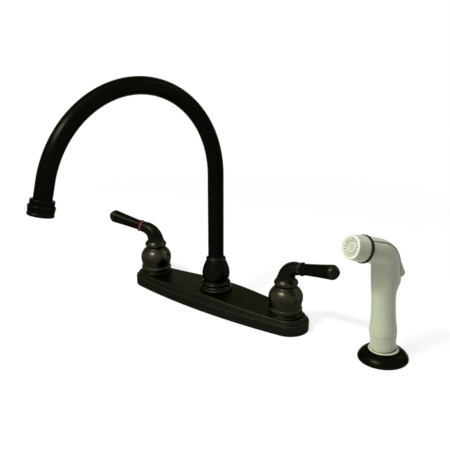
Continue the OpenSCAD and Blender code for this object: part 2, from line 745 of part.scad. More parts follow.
module outlet_adapter() {
    color(bronze) at_spout() spout_end(-adapter_lap) difference() {
        rotate_extrude() polygon(concat([[0, 0], [adapter_r - 1, 0]],
            arc_points([adapter_r - 1, 1], 1, -90, 0, 4),
            [[adapter_r, adapter_h - 0.4], [adapter_r - 0.4, adapter_h], [thread_r, adapter_h],
            [thread_r, adapter_h + 5.5], [0, adapter_h + 5.5]]));
        translate([0, 0, -1]) cylinder(h = adapter_lap + 1.05, r = spout_r + tail_swell + running);
        cylinder(h = 30, r = tube_bore_r);
    }
}

lip_t = 1.4;
aerator_z = adapter_h - adapter_lap;
module aerator_housing() {
    r = aerator_r;
    h = aerator_h;
    color(bronze) at_spout() spout_end(aerator_z) difference() {
        rotate_extrude() polygon(concat([[0, 0], [r - 0.5, 0], [r - 0.1, 0.4]],
            curve([[r, 1], [r - 0.15, 2.6], [r - 0.5, h - 4.2], [r - 0.85, h - 3.6], [r - 0.75, h - 3.1],
                [r - 0.3, h - 2.5], [r - 0.2, h - 1.7], [r - 0.45, h - 0.7], [r - 1.1, h]], 3), [[0, h]]));
        translate([0, 0, -1]) cylinder(h = h - lip_t + 1, r = thread_r + thread_gap);
        cylinder(h = 30, r = thread_r - 1.4);
    }
}

module aerator_washer() {
    color(rubber) at_spout() spout_end(aerator_z + 5.5) difference() {
        cylinder(h = 1, r = thread_r - 0.2);
        translate([0, 0, -1]) cylinder(h = 3, r = tube_bore_r + 0.2);
    }
}

// Hole centres in rings round a middle hole
function ring_holes(pitch, rings) = concat([[0, 0]], [for (k = [1:rings], i = [0:6 * k - 1])
    pitch * k * [cos(60 * i / k), sin(60 * i / k)]]);

module aerator_screen() {
    color(steel) at_spout() spout_end(aerator_z + 6.5) difference() {
        cylinder(h = 0.5, r = thread_r - 0.2);
        for (p = ring_holes(2.3, 3)) translate([p[0], p[1], -1]) cylinder(h = 3, r = 0.7, $fn = 6);
    }
}

module aerator_insert() {
    h = aerator_h - lip_t - 7;
    color(plastic) at_spout() spout_end(aerator_z + 7) difference() {
        cylinder(h = h, r = thread_r - 0.2);
        for (p = ring_holes(2.75, 3)) translate([p[0], p[1], -1]) cylinder(h = h + 2, r = 1.15, $fn = 6);
    }
}

module diverter_body() {
    color(plastic) translate([0, 0, diverter_z]) difference() {
        cylinder(h = diverter_h, r = diverter_r);
        translate([0, 0, 1.2]) cylinder(h = diverter_h - 4.2, r = 4.1);
        translate([0, 0, -1]) cylinder(h = diverter_h + 2, r = 2.6);
        for (a = [0:120:240]) rotate([0, 0, a]) translate([0, -1.5, 4.6]) cube([10, 3, 3]);
    }
}

module diverter_piston() {
    color(rubber) translate([0, 0, diverter_z + 1.5]) {
        cylinder(h = 2.4, r = 4);
        cylinder(h = 8, r = 2.2);
    }
}

// Sprayer holder, and the sprayer leaning in it towards the way it faces
module at_holder() translate([holder_x, holder_y, 0]) rotate([0, 0, spray_yaw]) children();
module at_sprayer() at_holder() rotate([0, spray_lean, 0]) children();

holder_bore_r = liner_bore_r + 0.6;
liner_seat_r = liner_bore_r + 1.6;
liner_seat_z = -8;

module spray_holder() {
    h = flange_h;
    r = flange_r;
    color(bronze) at_holder() difference() {
        union() {
            rotate_extrude() polygon(concat([[0, 0]], curve([[r - 0.7, 0], [r - 0.1, 0.7], [r, 1.7],
                [r - 0.4, 3.2], [r - 1.6, 5.2], [r - 3.6, h - 3.2], [r - 6.2, h - 1.4], [r - 9, h - 0.3],
                [r - 11, h]], 3),
                [[0, h]]));
            translate([0, 0, -holder_shank_l]) cylinder(h = holder_shank_l + 1, r = holder_shank_r);
        }
        relief(holder_shank_r, holder_end_z);
        translate([0, 0, liner_seat_z]) cylinder(h = 40, r = liner_seat_r + thread_gap);
        translate([0, 0, -holder_shank_l - 1]) cylinder(h = holder_shank_l + 1, r = holder_bore_r);
        translate([0, 0, -1]) difference() {
            cylinder(h = 2.3, r = r - 2);
            cylinder(h = 4, r = holder_shank_r + 1.5);
        }
    }
}

module holder_liner() {
    z = flange_h;
    color(white) at_holder() difference() {
        union() {
            translate([0, 0, liner_seat_z]) cylinder(h = z - liner_seat_z + 1, r = liner_seat_r);
            rotate_extrude() polygon(concat([[0, z], [liner_rim_r - 0.3, z]],
                arc_points([liner_rim_r - 0.7, z + 0.7], 0.7, -60, 90, 6), [[0, z + 1.4]]));
        }
        translate([0, 0, liner_seat_z - 1]) cylinder(h = 40, r = liner_bore_r);
    }
}

module holder_gasket() {
    color(rubber) at_holder() difference() {
        cylinder(h = 1.2, r = flange_r - 2.1);
        translate([0, 0, -1]) cylinder(h = 4, r = holder_shank_r + 1.6);
    }
}

module holder_nut() {
    color(brass) at_holder() translate([0, 0, -deck_t - nut_h])
        hex_nut(holder_nut_w, nut_h, holder_shank_r + thread_gap);
}

// Path of the sprayer's body: up the handle, round the bend and along the head
cross_a = head_z / cos(spray_lean);
bend_a = cross_a - bend_tangent;
bend_run = head_bend_r * head_turn * PI / 180;
neck_a = bend_a + bend_run + (head_reach - head_back - 0.1) - bend_tangent;
function path_turn(s) = min(max((s - bend_a) / bend_run, 0), 1) * head_turn;
function path_point(s) = let (a = path_turn(s), past = max(s - bend_a - bend_run, 0))
    [head_bend_r * (1 - cos(a)) + past * sin(head_turn), 0,
    min(s, bend_a) + head_bend_r * sin(a) + past * cos(head_turn)];
// Point at a height above the path, on the side of the thumb
function above_path(s, d) = let (a = path_turn(s)) path_point(s) + d * [-cos(a), 0, sin(a)];

module at_head(along) {
    translate([0, 0, cross_a]) rotate([0, head_turn, 0]) translate([0, 0, along]) children();
}

// Stations up the sprayer's body: place on the path, reach in front, reach behind, half width
g = grip_r;
body_stations = [
    [seam_z, g + 0.5, g + 0.5, g + 0.5], [26, g + 0.9, g + 0.9, g + 0.9], [33, g + 1.35, g + 1.35, g + 1.35],
    [43, g + 0.4, g + 0.4, g + 0.4], [54, g - 0.3, g - 0.3, g - 0.3], [64, g - 0.5, g - 0.5, g - 0.5],
    [72, g - 0.4, g, g - 0.4], [79, g - 0.2, g + 1.8, g - 0.2], [84, g, g + 4, g], [88, g + 0.1, g + 5, g],
    [91, g + 0.2, g + 4, g], [94, g + 0.2, g + 1, g], [98, g + 0.3, g - 0.2, g],
    [bend_a, g + 0.3, g - 0.3, g], [bend_a + bend_run / 2, g - 0.4, g - 0.2, g + 0.1],
    [bend_a + bend_run, g, g - 0.1, g + 0.1], [neck_a - 9, neck_r_max, neck_r_max, neck_r_max],
    [neck_a, neck_r_max, neck_r_max, neck_r_max]];
body_sides = 32;

module body_skin() {
    skin([for (v = curve(body_stations, 3)) let (a = path_turn(v[0]), p = path_point(v[0]))
        [for (i = [0:body_sides - 1]) let (t = 360 * i / body_sides)
            p + [cos(a), 0, -sin(a)] * cos(t) * (cos(t) > 0 ? v[1] : v[2]) - [0, 1, 0] * sin(t) * v[3]]]);
}

// Channel in the back of the body that the trigger moves in
channel_a = 85.5;
channel_d = 8.8;
channel_w = 16.6;
lug_w = 11;
pin_s = bend_a + bend_run + 9.7;
pin_d = 7.2;
pin_point = above_path(pin_s, pin_d);
trigger_s0 = 90;
trigger_s1 = neck_a - 0.6;

module slab(points, width) {
    rotate([90, 0, 0]) translate([0, 0, -width / 2]) linear_extrude(width)
        polygon([for (p = points) [p[0], p[2]]]);
}

module channel() {
    steps = 12;
    run = [for (i = [0:steps]) channel_a + (neck_a - channel_a) * i / steps];
    slab(concat([for (s = run) above_path(s, channel_d)],
        [above_path(neck_a + 4, channel_d), above_path(neck_a + 4, 40)],
        [for (i = [steps:-1:0]) above_path(run[i], 40)]), channel_w);
    slab([above_path(pin_s - 4.2, channel_d + 1), above_path(pin_s - 4.2, pin_d - 2.2),
        above_path(pin_s + 3.2, pin_d - 2.2), above_path(pin_s + 3.2, channel_d + 1)], lug_w);
}

module spray_handle() {
    bore = 4.2;
    color(white) at_sprayer() difference() {
        union() {
            body_skin();
            at_head(0) cylinder(h = head_reach - head_back + 7.8, r = spigot_r);
            at_head(0) cylinder(h = head_reach - nozzle_l - 0.1, r = ring_r - 2.1);
        }
        channel();
        translate([0, 0, seam_z - 1]) cylinder(h = 8, r = coupling_r + thread_gap);
        translate([0, 0, seam_z]) cylinder(h = cross_a - seam_z, r = bore);
        translate([0, 0, cross_a]) sphere(bore);
        at_head(0) cylinder(h = 60, r = bore);
        translate([7, 0, plunger_z]) rotate([0, -90, 0]) cylinder(h = 30, r = plunger_r + running);
        translate(pin_point) rotate([90, 0, 0]) cylinder(h = 60, r = pin_r + running, center = true);
    }
}

coupling_r = 7.9;
module spray_collar() {
    r = g + 0.55;
    color(white) at_sprayer() difference() {
        rotate_extrude() polygon([[0, 2], [9.7, 2], [10.4, collar_z0], [r - 0.6, collar_z0],
            [r, collar_z0 + 0.6], [r, seam_z - 0.45], [r - 0.35, seam_z - 0.1], [0, seam_z - 0.1]]);
        cylinder(h = 60, r = coupling_r + thread_gap);
    }
}

module hose_coupling() {
    color(brass) at_sprayer() difference() {
        translate([0, 0, -10]) cylinder(h = seam_z + 16.8, r = coupling_r);
        translate([0, 0, -11]) cylinder(h = 15, r = 5.2);
        translate([0, 0, -11]) cylinder(h = 60, r = 3.6);
    }
}

module neck_ring() {
    wire = 1.05;
    color(rubber) at_sprayer() at_head(head_reach - nozzle_l - wire) rotate_extrude()
        translate([ring_r - wire, 0]) circle(wire, $fn = 32);
}

face_r = 10.3;
face_t = 2.1;
face_back = 0.5;
module spray_nozzle() {
    l = nozzle_l;
    r = nozzle_r;
    color(white) at_sprayer() at_head(head_reach - l) difference() {
        rotate_extrude() polygon(concat([[0, 0], [r + 0.8, 0], [r + 1.05, 0.3], [r + 1.05, 2.2]],
            curve([[r + 0.95, 3], [r + 0.6, 6.5], [r + 0.25, 10.5], [r + 0.1, l - 2]], 3),
            arc_points([r - 0.7, l - 0.7], 0.7, 0, 90, 4), [[0, l]]));
        translate([0, 0, -1]) cylinder(h = 7.4, r = spigot_r + thread_gap);
        cylinder(h = 30, r = face_r - 0.9);
        translate([0, 0, l - face_back - face_t]) cylinder(h = 10, r = face_r + thread_gap);
    }
}

// Face with a ring of square jets, a raised ring and a middle button
module spray_face() {
    color(white) at_sprayer() at_head(head_reach - face_back - face_t) difference() {
        rotate_extrude() polygon([[0, 0], [face_r, 0], [face_r, face_t], [6.6, face_t], [6.2, face_t - 0.6],
            [5.4, face_t - 0.6], [5, face_t], [3.4, face_t], [3, face_t - 0.5], [2.6, face_t - 0.5],
            [2.3, face_t + 0.2], [0, face_t + 0.2]]);
        for (i = [0:hole_count - 1]) rotate([0, 0, 360 * i / hole_count])
            translate([7.7, -0.6, -1]) cube([1.2, 1.2, 9]);
    }
}

// Trigger: place on the path, underside, crown and half width
trigger_stations = [
    [trigger_s0 - 0.4, 17.8, 20.2, 6.6], [trigger_s0 + 1.6, 15.2, 21.4, 7.9], [96, 13.3, 20.7, 8],
    [101, 12.3, 19.4, 8],
    [bend_a, 11.7, 17.2, 8], [bend_a + bend_run * 0.33, 11.3, 15, 8],
    [bend_a + bend_run * 0.66, 10.6, 13.9, 8],
    [bend_a + bend_run, 10, 14, 8], [pin_s - 3, 9.6, 14.6, 8], [pin_s + 3, 9.2, 15, 8],
    [trigger_s1 - 1, 9.2, 14.9, 7.8], [trigger_s1, 9.8, 14.1, 7]];
module trigger_skin() {
    sides = 20;
    skin([for (v = curve(trigger_stations, 2)) let (a = path_turn(v[0]), p = path_point(v[0]),
        mid = (v[1] + v[2]) / 2, half = (v[2] - v[1]) / 2)
        [for (i = [0:sides - 1]) let (t = 360 * i / sides, c = cos(t), s = sin(t),
            across = v[3] * sign(s) * pow(abs(s), 0.45), sag = 0.022 * pow(across, 2))
            p + [cos(a), 0, -sin(a)] * -(mid - half * sign(c) * pow(abs(c), 0.6) - (c < 0 ? sag : 0))
            - [0, 1, 0] * across]]);
}

module spray_trigger() {
    color(white) at_sprayer() difference() {
        union() {
            trigger_skin();
            slab([above_path(pin_s - 2.2, pin_d + 4), above_path(pin_s - 2.2, pin_d - 1.2),
                above_path(pin_s - 1.2, pin_d - 1.9), above_path(pin_s + 1.2, pin_d - 1.9),
                above_path(pin_s + 2.2, pin_d - 1.2), above_path(pin_s + 2.2, pin_d + 4)], lug_w - 0.6);
        }
        translate(pin_point) rotate([90, 0, 0]) cylinder(h = 60, r = pin_r + running, center = true);
    }
}

module trigger_pin() {
    color(steel) at_sprayer() translate(pin_point) rotate([90, 0, 0])
        cylinder(h = 19, r = pin_r, center = true);
}

plunger_tip = 11.9;
module spray_plunger() {
    color(brass) at_sprayer() translate([0, 0, plunger_z]) rotate([0, -90, 0]) difference() {
        rotate_extrude() polygon(concat([[0, 0], [plunger_r, 0], [plunger_r, plunger_tip - 1]],
            arc_points([plunger_r - 1, plunger_tip - 1], 1, 0, 90, 5), [[0, plunger_tip]]));
        translate([0, 0, 4.6]) difference() {
            cylinder(h = 1.1, r = plunger_r + 1);
            translate([0, 0, -1]) cylinder(h = 3, r = plunger_r - 0.85);
        }
    }
}

module plunger_seal() {
    color(rubber) at_sprayer() translate([0, 0, plunger_z]) rotate([0, -90, 0]) translate([0, 0, 5.15])
        rotate_extrude() translate([plunger_r - 0.42, 0]) circle(0.42, $fn = 24);
}

module plunger_spring() {
    color(steel) at_sprayer() translate([7, 0, plunger_z]) rotate([0, -90, 0])
        coil_spring(plunger_r - 1, 0.4, 6.9, 4);
}

deck_plate();
deck_gasket();
hot_valve_body();
cold_valve_body();
cross_tubes();
spout_post();
supply_nuts();
supply_washers();
spray_outlet_nipple();
hot_foot_ring();
cold_foot_ring();
plate_lock_nuts();
bonnet_nuts();
valve_seats();
seat_springs();
hot_cartridge();
cold_cartridge();
hot_stem();
cold_stem();
hot_stem_seal();
cold_stem_seal();
hot_handle();
cold_handle();
hot_index_ring();
cold_index_ring();
hot_lever();
cold_lever();
hot_set_screw();
cold_set_screw();
spout_base();
spout_tube();
spout_collar();
spout_spigot();
spout_seals();
spout_snap_ring();
spout_thrust_washer();
outlet_adapter();
aerator_housing();
aerator_insert();
aerator_screen();
aerator_washer();
diverter_body();
diverter_piston();
spray_holder();
holder_liner();
holder_gasket();
holder_nut();
spray_handle();
spray_collar();
hose_coupling();
neck_ring();
spray_nozzle();
spray_face();
spray_trigger();
trigger_pin();
spray_plunger();
plunger_spring();
plunger_seal();
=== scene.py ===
import json
import math
import bpy
import numpy as np
from mathutils import Matrix, Vector


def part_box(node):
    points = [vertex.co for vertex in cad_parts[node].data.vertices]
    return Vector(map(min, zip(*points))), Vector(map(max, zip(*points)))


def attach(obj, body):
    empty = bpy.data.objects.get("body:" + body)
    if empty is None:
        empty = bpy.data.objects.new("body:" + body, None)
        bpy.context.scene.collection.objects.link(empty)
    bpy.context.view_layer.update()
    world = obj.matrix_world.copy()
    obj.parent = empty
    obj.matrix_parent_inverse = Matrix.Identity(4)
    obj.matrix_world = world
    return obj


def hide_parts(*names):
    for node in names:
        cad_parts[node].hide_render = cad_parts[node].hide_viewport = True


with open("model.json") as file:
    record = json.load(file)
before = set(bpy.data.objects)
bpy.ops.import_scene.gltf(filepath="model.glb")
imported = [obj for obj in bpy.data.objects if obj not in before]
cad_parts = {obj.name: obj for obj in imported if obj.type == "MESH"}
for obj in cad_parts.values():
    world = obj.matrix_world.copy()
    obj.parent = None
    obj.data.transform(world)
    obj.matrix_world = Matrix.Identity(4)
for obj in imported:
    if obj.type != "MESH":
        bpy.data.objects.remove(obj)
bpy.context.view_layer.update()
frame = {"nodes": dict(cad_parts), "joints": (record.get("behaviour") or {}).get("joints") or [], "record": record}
mm = 0.001
tau = 2 * math.pi
xAxis = np.array([1.0, 0.0, 0.0])
yAxis = np.array([0.0, 1.0, 0.0])
zAxis = np.array([0.0, 0.0, 1.0])
print("frame loaded:", len(frame["nodes"]), "nodes")

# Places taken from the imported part, in millimetres


def boxOf(node):
    low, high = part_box(node)
    return np.array(low) / mm, np.array(high) / mm


def middleOf(node):
    low, high = boxOf(node)
    return (low + high) / 2


def jointNamed(name):
    return next(j for j in frame["joints"] if j["name"] == name)


def headingTo(point, start):
    return math.atan2(point[1] - start[1], point[0] - start[0])


plateSize = boxOf("deck_plate")[1] - boxOf("deck_plate")[0]
hotFoot = middleOf("hot_foot_ring") * [1, 1, 0]
coldFoot = middleOf("cold_foot_ring") * [1, 1, 0]
holderFoot = middleOf("holder_gasket") * [1, 1, 0]
hotHeading = headingTo(middleOf("hot_index_ring"), hotFoot)
coldHeading = headingTo(middleOf("cold_index_ring"), coldFoot)
spoutHeading = headingTo(middleOf("aerator_washer"), [0, 0])
sprayAxis = np.array(jointNamed("sprayer_lift")["axis"], float)
sprayHeading = math.atan2(sprayAxis[1], sprayAxis[0])
sprayLean = math.acos(sprayAxis[2])

# Camera, floor and light

cameraView = {
    "azimuth": 39.62,  # degrees round from straight ahead
    "elevation": 17.66,
    "distance": 794.17,  # millimetres, as are the next two
    "aimHeight": 100,
    "sideways": 10.76,
    "lens": 54.08,
}


def viewAxes(azimuth, elevation):
    a = math.radians(azimuth)
    e = math.radians(elevation)
    back = Vector((math.sin(a) * math.cos(e), -math.cos(a) * math.cos(e), math.sin(e)))
    right = Vector((math.cos(a), math.sin(a), 0))
    return right, back.cross(right), back


def aimed(thing, place, axes):
    right, up, back = axes
    turn = Matrix((right, up, back)).transposed().to_4x4()
    thing.matrix_world = Matrix.Translation(place) @ turn


def makeCamera(v):
    camera = bpy.data.objects.new("camera", bpy.data.cameras.new("camera"))
    bpy.context.scene.collection.objects.link(camera)
    camera.data.lens = v["lens"]
    camera.data.sensor_width = 36
    camera.data.clip_start = 0.02
    camera.data.clip_end = 60
    axes = viewAxes(v["azimuth"], v["elevation"])
    place = Vector((0, 0, v["aimHeight"])) + v["distance"] * axes[2] + v["sideways"] * axes[0]
    aimed(camera, place * mm, axes)
    bpy.context.scene.camera = camera


# Softboxes: direction as for the camera, metres, and radiance, where 1 is paper white
softboxes = {
    "key": {"azimuth": -12, "elevation": 48, "distance": 1.25, "width": 0.9, "height": 0.16, "level": 20},
    "core": {"azimuth": -6, "elevation": 49, "distance": 1.25, "width": 0.22, "height": 0.12, "level": 108},
    "top": {"azimuth": 10, "elevation": 80, "distance": 1.2, "width": 0.6, "height": 0.4, "level": 1.5},
    "rim": {"azimuth": 150, "elevation": 35, "distance": 1.4, "width": 0.4, "height": 0.5, "level": 3},
}
lightAim = Vector((0.05, 0, 0.09))
stageLook = {
    "ambient": 0.08,
    "floorPlain": 0.8,  # how pale the floor is to the object
    "floorLit": 0.30,
    "floorGlow": 0.80,
    "floorNear": 0.20,  # metres from the middle: the floor keeps the shadow up to here
    "floorFar": 0.75,  # and is plain white from here on
    "floorReach": 6.0,
    "floorDrop": 0.0004,
}


def makeLights():
    for name, v in softboxes.items():
        lamp = bpy.data.lights.new(name, "AREA")
        lamp.shape = "RECTANGLE"
        lamp.size = v["width"]
        lamp.size_y = v["height"]
        lamp.energy = v["level"] * math.pi * v["width"] * v["height"]
        holder = bpy.data.objects.new(name, lamp)
        bpy.context.scene.collection.objects.link(holder)
        holder.visible_camera = False
        axes = viewAxes(v["azimuth"], v["elevation"])
        aimed(holder, lightAim + v["distance"] * axes[2], axes)


def node(tree, kind, inputs=None, **settings):
    made = tree.nodes.new(kind)
    for key, value in settings.items():
        setattr(made, key, value)
    for key, value in (inputs or {}).items():
        if isinstance(value, bpy.types.NodeSocket):
            tree.links.new(value, made.inputs[key])
        else:
            made.inputs[key].default_value = value
    return made


def ranged(tree, value, low, high, fromLow=0.3, fromHigh=0.7):
    inputs = {"Value": value, "From Min": fromLow, "From Max": fromHigh, "To Min": low, "To Max": high}
    return node(tree, "ShaderNodeMapRange", inputs).outputs[0]


def calculated(tree, operation, first, second):
    return node(tree, "ShaderNodeMath", {0: first, 1: second}, operation=operation).outputs[0]


# 1 for the rays that see the backdrop itself, 0 for the rays that light the object
def seenDirectly(tree):
    path = node(tree, "ShaderNodeLightPath").outputs
    either = calculated(tree, "MAXIMUM", path["Is Camera Ray"], path["Is Glossy Ray"])
    return calculated(tree, "MAXIMUM", either, path["Is Transmission Ray"])


def makeWorld(v):
    world = bpy.data.worlds.new("studio")
    world.use_nodes = True
    bpy.context.scene.world = world
    tree = world.node_tree
    background = tree.nodes["Background"]
    background.inputs["Color"].default_value = (1, 1, 1, 1)
    level = ranged(tree, seenDirectly(tree), v["ambient"], 1.0, 0, 1)
    tree.links.new(level, background.inputs["Strength"])


def makeFloor(v):
    reach = v["floorReach"]
    mesh = bpy.data.meshes.new("floor")
    corners = [(-reach, -reach), (reach, -reach), (reach, reach), (-reach, reach)]
    mesh.from_pydata([(x, y, -v["floorDrop"]) for x, y in corners], [], [(0, 1, 2, 3)])
    floor = bpy.data.objects.new("floor", mesh)
    bpy.context.scene.collection.objects.link(floor)
    material = bpy.data.materials.new("paleFloor")
    material.use_nodes = True
    tree = material.node_tree
    tree.nodes.remove(tree.nodes["Principled BSDF"])
    plain = node(tree, "ShaderNodeBsdfDiffuse", {"Color": (v["floorPlain"],) * 3 + (1,)})
    place = node(tree, "ShaderNodeTexCoord").outputs["Object"]
    away = node(tree, "ShaderNodeVectorMath", {0: place}, operation="LENGTH").outputs["Value"]
    near = v["floorNear"]
    far = v["floorFar"]
    litTone = ranged(tree, away, v["floorLit"], 0.0, near, far)
    glowLevel = ranged(tree, away, v["floorGlow"], 1.0, near, far)
    lit = node(tree, "ShaderNodeBsdfDiffuse", {"Color": litTone})
    glow = node(tree, "ShaderNodeEmission", {"Color": (1, 1, 1, 1), "Strength": glowLevel})
    seen = node(tree, "ShaderNodeAddShader", {0: lit.outputs[0], 1: glow.outputs[0]})
    inputs = {0: seenDirectly(tree), 1: plain.outputs[0], 2: seen.outputs[0]}
    mixed = node(tree, "ShaderNodeMixShader", inputs)
    tree.links.new(mixed.outputs[0], tree.nodes["Material Output"].inputs["Surface"])
    mesh.materials.append(material)


bpy.context.scene.view_settings.view_transform = "Standard"
makeCamera(cameraView)
makeLights()
makeWorld(stageLook)
makeFloor(stageLook)
print("camera, floor and light are in place")

# Finishes


def newFinish(name, base, roughness, metallic=0.0, specular=0.5):
    material = bpy.data.materials.new(name)
    material.use_nodes = True
    surface = material.node_tree.nodes["Principled BSDF"]
    surface.inputs["Base Color"].default_value = base + (1,)
    surface.inputs["Roughness"].default_value = roughness
    surface.inputs["Metallic"].default_value = metallic
    surface.inputs["Specular IOR Level"].default_value = specular
    return material, material.node_tree, surface


# Noise whose features are "size" millimetres across
def speckle(tree, size, detail=3.0, rough=0.55, stretch=(1, 1, 1)):
    place = node(tree, "ShaderNodeTexCoord").outputs["Object"]
    mapped = node(tree, "ShaderNodeMapping", {"Vector": place, "Scale": stretch})
    scale = 1 / (size * mm)
    inputs = {"Vector": mapped.outputs[0], "Scale": scale, "Detail": detail, "Roughness": rough}
    return node(tree, "ShaderNodeTexNoise", inputs).outputs[0]


def blended(tree, factor, first, second):
    mix = node(tree, "ShaderNodeMix", data_type="RGBA")
    for socket, value in ((0, factor), (6, first), (7, second)):
        if isinstance(value, bpy.types.NodeSocket):
            tree.links.new(value, mix.inputs[socket])
        else:
            mix.inputs[socket].default_value = tuple(value) + (1,)
    return mix.outputs[2]


def bumped(tree, surface, height, depth):
    bump = node(tree, "ShaderNodeBump", {"Height": height, "Distance": depth * mm})
    tree.links.new(bump.outputs[0], surface.inputs["Normal"])


# Soft patches between two tones
def patched(tree, size, detail, rough, first, second):
    return blended(tree, ranged(tree, speckle(tree, size, detail, rough), 0.0, 1.0), first, second)


# What makePiece wrote on the piece under this name, and 0 where it wrote nothing
def marked(tree, name):
    return node(tree, "ShaderNodeAttribute", attribute_name=name).outputs["Fac"]


# How worn a spot is: the piece's own convex edges, or the sharp corners of a plain solid
def wornEdges(tree, low=0.53, high=0.60):
    corner = ranged(tree, node(tree, "ShaderNodeNewGeometry").outputs["Pointiness"], 0.0, 1.0, low, high)
    edge = calculated(tree, "MAXIMUM", marked(tree, "wear"), corner)
    patchy = ranged(tree, speckle(tree, 3.5, 4.0, 0.65), 0.25, 1.0)
    return calculated(tree, "MULTIPLY", edge, patchy)


# "turned" is the paler finish of the turned pieces and "cast" the rougher one of the plate. A mark of the
# same name on the piece mixes each of them in. On the handles and lever tips the "turned" mark also paints
# highlights where the lamps' highlights fall, and on the foot rings it is kept low as painted shade.
bronzeLook = {
    "dark": (0.0025, 0.0027, 0.0017),
    "brown": (0.0038, 0.0038, 0.0023),
    "turned": (0.0365, 0.0340, 0.0215),
    "cast": (0.0092, 0.0106, 0.0066),
    "rubbed": (0.034, 0.028, 0.018),
    "edgeTint": (0.50, 0.505, 0.47),
    "worn": 0.6,
    "smooth": 0.27,
    "rough": 0.33,
    "castRough": 0.12,
}


def makeBronze(v):
    material, tree, surface = newFinish("oilRubbedBronze", v["dark"], 0.3, 1.0)
    surface.inputs["Specular Tint"].default_value = v["edgeTint"] + (1,)
    ground = patched(tree, 22, 5.0, 0.6, v["dark"], v["brown"])
    patchy = ranged(tree, speckle(tree, 11, 4.0, 0.55), 0.5, 0.95)
    ground = blended(tree, calculated(tree, "MULTIPLY", marked(tree, "turned"), patchy), ground, v["turned"])
    cast = marked(tree, "cast")
    castTone = calculated(tree, "MULTIPLY", cast, ranged(tree, speckle(tree, 16, 5.0, 0.6), 0.7, 1.0))
    ground = blended(tree, castTone, ground, v["cast"])
    worn = calculated(tree, "MULTIPLY", wornEdges(tree), v["worn"])
    tree.links.new(blended(tree, worn, ground, v["rubbed"]), surface.inputs["Base Color"])
    sheen = ranged(tree, speckle(tree, 6, 4.0, 0.6), v["smooth"], v["rough"])
    dull = calculated(tree, "MULTIPLY", cast, v["castRough"])
    tree.links.new(calculated(tree, "ADD", sheen, dull), surface.inputs["Roughness"])
    bumped(tree, surface, speckle(tree, 0.7, 3.0, 0.6), 0.002)
    return material


# The whiter rim of nozzle and face is a painted highlight, and the darkness of the jets, the face's groove and its
# middle is painted shade. Marks of the piece mix both in.
plasticLook = {
    "cream": (0.465, 0.505, 0.345),
    "shaded": (0.415, 0.465, 0.315),
    # painted highlight colour, mixed in on the rims of nozzle and face
    "fresh": (0.68, 0.69, 0.56),
    # darker tone for the concave creases
    "creaseTone": (0.17, 0.18, 0.125),
    # painted shade colour for the jets and the face's recesses
    "hollow": (0.035, 0.035, 0.03),
}


def makeCreamPlastic(v):
    material, tree, surface = newFinish("creamPlastic", v["cream"], 0.35)
    tone = patched(tree, 30, 4.0, 0.55, v["cream"], v["shaded"])
    # Painted highlight: the marked rims are whitened
    tone = blended(tree, marked(tree, "fresh"), tone, v["fresh"])
    # Darker in the concave creases, found by pointiness
    inCrease = ranged(tree, node(tree, "ShaderNodeNewGeometry").outputs["Pointiness"], 0.35, 0.0, 0.42, 0.49)
    tone = blended(tree, inCrease, tone, v["creaseTone"])
    # Painted shade: the marked jets and recesses are darkened
    tree.links.new(blended(tree, marked(tree, "hollow"), tone, v["hollow"]), surface.inputs["Base Color"])
    tree.links.new(ranged(tree, speckle(tree, 5, 4.0), 0.30, 0.42), surface.inputs["Roughness"])
    bumped(tree, surface, speckle(tree, 0.9, 2.0), 0.004)
    return material


# Plain materials: base colour and roughness, two tones in patches and the patches' size, "dull" as the size
# and range of the uneven roughness, and "grain" as the size and depth of the bump
plainLooks = {
    "rubber": {
        "name": "blackRubber",
        "base": (0.007, 0.007, 0.007),
        "roughness": 0.6,
        "tones": ((0.005, 0.005, 0.005), (0.010, 0.010, 0.009)),
        "specular": 0.06,
        "patch": 4,
        "dull": (1.5, 0.5, 0.72),
        "grain": (0.4, 0.01),
    },
    "grey_plastic": {
        "name": "greyPlastic",
        "base": (0.5, 0.5, 0.47),
        "roughness": 0.5,
        "tones": ((0.46, 0.46, 0.43), (0.56, 0.555, 0.52)),
        "specular": 0.5,
        "patch": 7,
        "dull": (2, 0.42, 0.6),
        "grain": (0.5, 0.008),
    },
    "red_enamel": {
        "name": "redEnamel",
        "base": (0.23, 0.026, 0.042),
        "roughness": 0.25,
        "tones": ((0.23, 0.026, 0.042), (0.30, 0.040, 0.058)),
        "specular": 0.12,
        "patch": 2.5,
        "dull": (1, 0.2, 0.32),
        "grain": (0.8, 0.004),
    },
    "blue_enamel": {
        "name": "blueEnamel",
        "base": (0.0025, 0.004, 0.015),
        "roughness": 0.25,
        "tones": ((0.0025, 0.004, 0.015), (0.005, 0.007, 0.025)),
        "specular": 0.12,
        "patch": 2.5,
        "dull": (1, 0.2, 0.32),
        "grain": (0.8, 0.004),
    },
}


def makePlain(v):
    size, smooth, rough = v["dull"]
    material, tree, surface = newFinish(v["name"], v["base"], v["roughness"], 0.0, v["specular"])
    tree.links.new(patched(tree, v["patch"], 4.0, 0.55, *v["tones"]), surface.inputs["Base Color"])
    tree.links.new(ranged(tree, speckle(tree, size), smooth, rough), surface.inputs["Roughness"])
    bumped(tree, surface, speckle(tree, v["grain"][0]), v["grain"][1])
    return material


# Turned or drawn metal: fine rings round the Z axis, and brighter rubbed corners
metalLooks = {
    "brass": {
        "name": "turnedBrass",
        "base": (0.62, 0.44, 0.20),
        "dull": (0.50, 0.34, 0.14),
        "bright": (0.80, 0.63, 0.34),
        "smooth": 0.22,
        "rough": 0.38,
    },
    "steel": {
        "name": "plainSteel",
        "base": (0.56, 0.56, 0.55),
        "dull": (0.44, 0.44, 0.43),
        "bright": (0.75, 0.75, 0.74),
        "smooth": 0.22,
        "rough": 0.40,
    },
}


